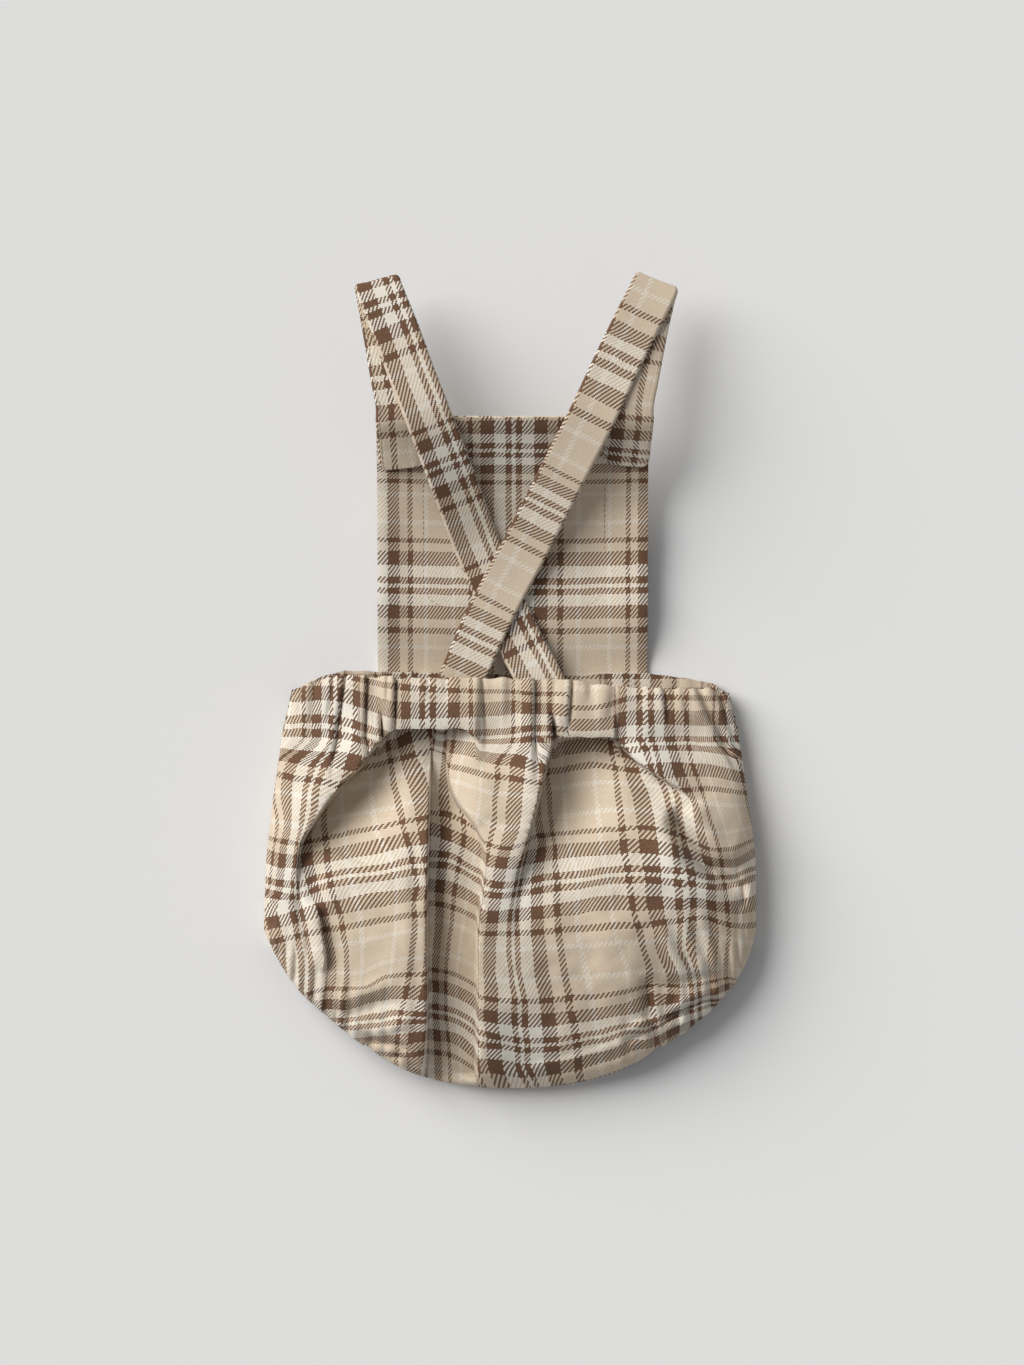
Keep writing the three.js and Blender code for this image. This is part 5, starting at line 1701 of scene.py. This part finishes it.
def stitch_row(points, outward, sewing):
    """Vertices and faces of a row of stitches along points, sunk half into the cloth."""
    points = np.asarray(points, float)
    length = lengths_along(points)
    pitch = (sewing.stitch + sewing.gap) / MM
    radius = sewing.thickness / MM / 2
    vertices, faces = [], []

    def read(place, values):
        return np.array([np.interp(place, length, values[:, k]) for k in range(3)])

    for number in range(int(length[-1] / pitch)):
        base = len(vertices)
        for place, size in STITCH_SECTIONS:
            here = (number + 0.5) * pitch + place * (sewing.stitch / MM)
            way = read(here + 0.3, points) - read(here - 0.3, points)
            way /= max(np.linalg.norm(way), 1e-6)
            up = read(here, outward)
            up /= np.linalg.norm(up)
            sideways = np.cross(way, up)
            centre = read(here, points) + up * radius * (0.5 * (1 - (2 * place) ** 2) - 0.1)
            for k in range(STITCH_SIDES):
                turn = 2 * math.pi * k / STITCH_SIDES
                spot = sideways * math.cos(turn) + up * math.sin(turn)
                vertices.append(centre + spot * radius * size)
        ring = np.arange(STITCH_SIDES)
        for section in range(len(STITCH_SECTIONS) - 1):
            a = base + section * STITCH_SIDES + ring
            b = np.roll(a, -1)
            faces += np.stack([a, b, b + STITCH_SIDES, a + STITCH_SIDES], -1).tolist()
        faces.append((base + ring[::-1]).tolist())
        faces.append((len(vertices) - STITCH_SIDES + ring).tolist())
    return vertices, faces


def stitches(name, rows, sewing, tonal=False):
    """One object holding several rows of stitches: pairs of points and outward directions."""
    vertices, faces = [], []
    for points, outward in rows:
        more, their = stitch_row(points, outward, sewing)
        base = len(vertices)
        vertices += more
        faces += [[base + k for k in face] for face in their]
    if tonal:
        material = yarn_material("Tonal sewing thread", tuple(sewing.tonal))
    else:
        material = yarn_material("Beige sewing thread", tuple(sewing.thread))
    obj = add_mesh(name, np.array(vertices), faces, np.zeros((len(vertices), 2)), material)
    face_outward(obj)
    sharpen_cut_edges(obj)
    return belongs(obj)


class ROMPER_OT_straps(Operator):
    """Run both straps from the bib over the top and down into the waist"""

    bl_idname = "romper.straps"
    bl_label = "Straps"

    def execute(self, context):
        scene = context.scene
        material = cloth_material(scene.romper_cloth)
        along = np.linspace(*STITCHED, 500)
        aside = STRAP_WIDTH / 2 - STITCH_INSET
        end = STRAP_WIDTH / 2 - END_ROW_INSET
        for hand in ("left", "right"):
            strap, run = strap_mesh(hand, material, scene.romper_folds)
            dress(strap, f"strap_{hand}")
            rows = [run.stitch_line(along, offset) for offset in (-aside, aside)]
            rows.append(run.stitch_line(END_ROW, np.linspace(-end, end, 40)))
            seam = stitches(f"strap_{hand}_topstitch", rows, scene.romper_sewing)
        return {"FINISHED"}


# ---- buttons

# Metres, as the button's own settings are.
HOLE_PLACE = 0.0019  # of each hole, along both axes from the button's middle
HOLE_RADIUS = 0.0009
BUTTON_BEVEL = 0.00025
RIM_SHARES = (0.11, 0.03)  # width of the rim and of its inner slope, parts of the diameter
DISH_SHARE = 0.22  # how far the face is dished, as a part of the thickness


class ROMPER_OT_buttons(Operator):
    """Turn both four-hole buttons"""

    bl_idname = "romper.buttons"
    bl_label = "Buttons"

    def execute(self, context):
        button = context.scene.romper_button
        model = button_model(button)
        for hand, x in BUTTON_PLACES.items():
            moved = -(LAYER / 2 + SEAM + button.thickness / MM / 2)
            centre = on_bib(x, BUTTON_HEIGHT_ON_BIB, moved)
            above = on_bib(x, BUTTON_HEIGHT_ON_BIB, 0.0)
            normal = Vector(above - centre).normalized()
            turn = Vector((0, 0, 1)).rotation_difference(normal).to_matrix().to_4x4()
            mesh = model.data.copy()
            mesh.name = f"button_{hand}_turned"
            mesh.transform(Matrix.Translation(Vector(to_frame(centre))) @ turn)
            obj = bpy.data.objects.new(mesh.name, mesh)
            context.scene.collection.objects.link(obj)
            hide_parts(f"button_{hand}")
            belongs(obj)
        bpy.data.objects.remove(model)
        return {"FINISHED"}


def pick_faces(obj, test):
    """Selects the faces that pass a test, in edit mode."""
    work = bmesh.from_edit_mesh(obj.data)
    for face in work.faces:
        face.select_set(test(face))
    work.select_flush_mode()
    bmesh.update_edit_mesh(obj.data)


def button_model(button):
    """One button, turned at the origin: dished face, rounded rim and four holes."""
    bpy.ops.object.select_all(action="DESELECT")
    bpy.ops.mesh.primitive_cylinder_add(
        vertices=48, radius=button.diameter / 2, depth=button.thickness)
    model = bpy.context.object
    bpy.ops.object.mode_set(mode="EDIT")
    bpy.ops.mesh.select_mode(type="FACE")
    pick_faces(model, lambda face: face.normal.z < -0.9)
    for share in RIM_SHARES:
        bpy.ops.mesh.inset(thickness=button.diameter * share)
    bpy.ops.transform.translate(value=(0, 0, button.thickness * DISH_SHARE))
    bpy.ops.object.mode_set(mode="OBJECT")
    for hand_x, hand_y in ((1, 1), (-1, 1), (-1, -1), (1, -1)):
        bpy.ops.object.select_all(action="DESELECT")
        bpy.ops.mesh.primitive_cylinder_add(
            vertices=24, radius=HOLE_RADIUS, depth=button.thickness * 3,
            location=(hand_x * HOLE_PLACE, hand_y * HOLE_PLACE, 0))
        drill = bpy.context.object
        apply_modifier(model, "BOOLEAN", object=drill, operation="DIFFERENCE", solver="EXACT")
        bpy.data.objects.remove(drill)
    apply_modifier(model, "BEVEL", width=BUTTON_BEVEL, segments=3, limit_method="ANGLE",
                   angle_limit=math.radians(40))
    model.data.materials.clear()
    model.data.materials.append(button_material(tuple(button.colour)))
    select_only(model)
    bpy.ops.object.shade_smooth_by_angle(angle=math.radians(35))
    return model


# ---- topstitching

BIB_STITCH_INSET = 5.5  # from the bib's edge to its topstitching
BIB_STITCH_END = 6.0  # where that starts, above the waist
POCKET_STITCH_INSET = 2.0
THREAD_LIFT = 0.35  # how far a button's thread lies above the strap
THREAD_SPREAD = 0.35  # between its strands
THREAD_REACH = 1.3  # half a strand's span, along both sides of its cross


def on_lining(places):
    """Points and outward directions on the lining for places laid on the bib."""
    line = np.array(places, float)
    length = lengths_along(line)
    even = np.linspace(0, length[-1], int(length[-1]))
    x, y = (np.interp(even, length, line[:, k]) for k in range(2))
    inside = LAYER * 1.5 + SEAM
    low = on_bib(x, y, inside)
    return low, on_bib(x, y, inside + 1.0) - low


def pocket_outline():
    """The pocket's stitch line, down one side, round both corners and up the other."""
    radius = POCKET["corner"]
    low, high = POCKET["bottom"] + POCKET_STITCH_INSET, POCKET["top"] - 1
    near, far = POCKET["left"] + POCKET_STITCH_INSET, POCKET["right"] - POCKET_STITCH_INSET
    turns = np.linspace(0, math.pi / 2, 9)
    outline = [(near, high), (near, low + radius)]
    for middle, start in ((near + radius, math.pi), (far - radius, 1.5 * math.pi)):
        outline += [(middle + radius * math.cos(start + turn),
                     low + radius + radius * math.sin(start + turn)) for turn in turns]
    return outline + [(far, low + radius), (far, high)]


def button_strands(hand, x):
    """Crossed strands of thread on the strap, over its button."""
    spots, ways = on_lining(((x, BUTTON_HEIGHT_ON_BIB + 1), (x, BUTTON_HEIGHT_ON_BIB + 5)))
    spot, outward = spots[len(spots) // 2], ways[len(ways) // 2]
    outward = outward / np.linalg.norm(outward)
    strap = StrapRun(hand).curve.at(np.linspace(0, 0.25, 200))
    strap = strap[np.argmin(np.linalg.norm(strap - spot, axis=1))]
    spot = spot + outward * (np.dot(strap - spot, outward) + STRAP_WALL / 2 + THREAD_LIFT)
    beside = np.array((1.0, 0.0, 0.0))
    ahead = np.cross(outward, beside)
    strands = []
    for slant in (1, -1):
        way, across = beside + slant * ahead, beside - slant * ahead
        for shift in (-THREAD_SPREAD, 0.0, THREAD_SPREAD):
            ends = [spot + across * shift + way * reach
                    for reach in (-THREAD_REACH, THREAD_REACH)]
            strands.append((ends, np.array([outward, outward])))
    return strands


class ROMPER_OT_topstitching(Operator):
    """Sew the bib's edges, the pocket line and the button threads"""

    bl_idname = "romper.topstitching"
    bl_label = "Topstitching"

    def execute(self, context):
        sewing = context.scene.romper_sewing
        left = BIB_CENTRE - BIB_WIDTH / 2 + BIB_STITCH_INSET
        right = BIB_CENTRE + BIB_WIDTH / 2 - BIB_STITCH_INSET
        low, top = BIB_STITCH_END, BIB_TOP - BIB_STITCH_INSET
        edge = on_lining(((left, low), (left, top), (right, top), (right, low)))
        stitches("bib_topstitch", [edge], sewing, tonal=True)
        stitches("pocket_stitch_line", [on_lining(pocket_outline())], sewing, tonal=True)
        strands = []
        for hand, x in BUTTON_PLACES.items():
            strands += button_strands(hand, x)
        stitches("button_threads", strands, sewing)
        return {"FINISHED"}


# ---- stage

FLOOR_SIZE = 6.0
FLOOR_DROP = 0.0002  # how far the floor lies below the romper, so that they don't touch
KEY_COLOUR = (1.0, 0.985, 0.965)
KEY_WAY = (1.0, -0.72, -0.83)  # the way the key light shines, down from the upper left
FILL_COLOUR = (0.97, 0.985, 1.0, 1.0)
CAMERA_PLACE = (0.0011, -0.0009)


class ROMPER_OT_studio(Operator):
    """Set the pale floor, the soft lights and the camera"""

    bl_idname = "romper.studio"
    bl_label = "Studio"

    def execute(self, context):
        studio = context.scene.romper_studio
        bpy.ops.object.select_all(action="DESELECT")
        bpy.ops.mesh.primitive_plane_add(size=FLOOR_SIZE, location=(0, 0, -FLOOR_DROP))
        floor = context.object
        floor.name = "pale_floor"
        floor.data.materials.append(floor_material(tuple(studio.floor)))

        bpy.ops.object.light_add(type="SUN", location=(-1.2, 1.2, 2.0))
        key = context.object
        key.name = "soft_key"
        key.data.energy = studio.key
        key.data.angle = studio.softness
        key.data.color = KEY_COLOUR
        key.rotation_mode = "QUATERNION"
        key.rotation_quaternion = Vector(KEY_WAY).to_track_quat("-Z", "Y")

        world = bpy.data.worlds.new("Studio fill")
        world.use_nodes = True
        sky = world.node_tree.nodes["Background"]
        sky.inputs["Color"].default_value = FILL_COLOUR
        sky.inputs["Strength"].default_value = studio.fill
        context.scene.world = world
        context.scene.view_settings.view_transform = "Standard"

        bpy.ops.object.camera_add(location=(*CAMERA_PLACE, studio.height), rotation=(0, 0, 0))
        camera = context.object
        camera.data.lens = studio.lens
        camera.data.sensor_width = 36
        camera.data.clip_start = 0.05
        context.scene.camera = camera
        return {"FINISHED"}


# ---- sidebar and registration

STEPS = (
    ROMPER_OT_studio, ROMPER_OT_front_panel, ROMPER_OT_back_panel, ROMPER_OT_leg_hems,
    ROMPER_OT_waist_casings, ROMPER_OT_bib, ROMPER_OT_straps, ROMPER_OT_buttons,
    ROMPER_OT_topstitching,
)
SETTINGS = {
    "romper_cloth": RomperClothSettings,
    "romper_folds": RomperFoldSettings,
    "romper_sewing": RomperSewingSettings,
    "romper_button": RomperButtonSettings,
    "romper_studio": RomperStudioSettings,
}


class ROMPER_PT_sidebar(Panel):
    """Pieces of the romper and their settings"""

    bl_label = "Romper"
    bl_idname = "ROMPER_PT_sidebar"
    bl_space_type = "VIEW_3D"
    bl_region_type = "UI"
    bl_category = "Romper"

    def draw(self, context):
        layout = self.layout
        for name, group in SETTINGS.items():
            box = layout.box()
            box.label(text=group.__doc__)
            values = getattr(context.scene, name)
            for key in group.__annotations__:
                box.prop(values, key)
        column = layout.column(align=True)
        for step in STEPS:
            column.operator(step.bl_idname)


def register():
    for group in SETTINGS.values():
        bpy.utils.register_class(group)
    for name, group in SETTINGS.items():
        setattr(bpy.types.Scene, name, PointerProperty(type=group))
    for step in STEPS:
        bpy.utils.register_class(step)
    bpy.utils.register_class(ROMPER_PT_sidebar)


def unregister():
    bpy.utils.unregister_class(ROMPER_PT_sidebar)
    for step in reversed(STEPS):
        bpy.utils.unregister_class(step)
    for name, group in SETTINGS.items():
        delattr(bpy.types.Scene, name)
        bpy.utils.unregister_class(group)


def main():
    register()
    bpy.ops.romper.studio()
    bpy.ops.romper.front_panel()
    bpy.ops.romper.back_panel()
    bpy.ops.romper.leg_hems()
    bpy.ops.romper.waist_casings()
    bpy.ops.romper.bib()
    bpy.ops.romper.straps()
    bpy.ops.romper.buttons()
    bpy.ops.romper.topstitching()


if __name__ == "__main__":
    main()
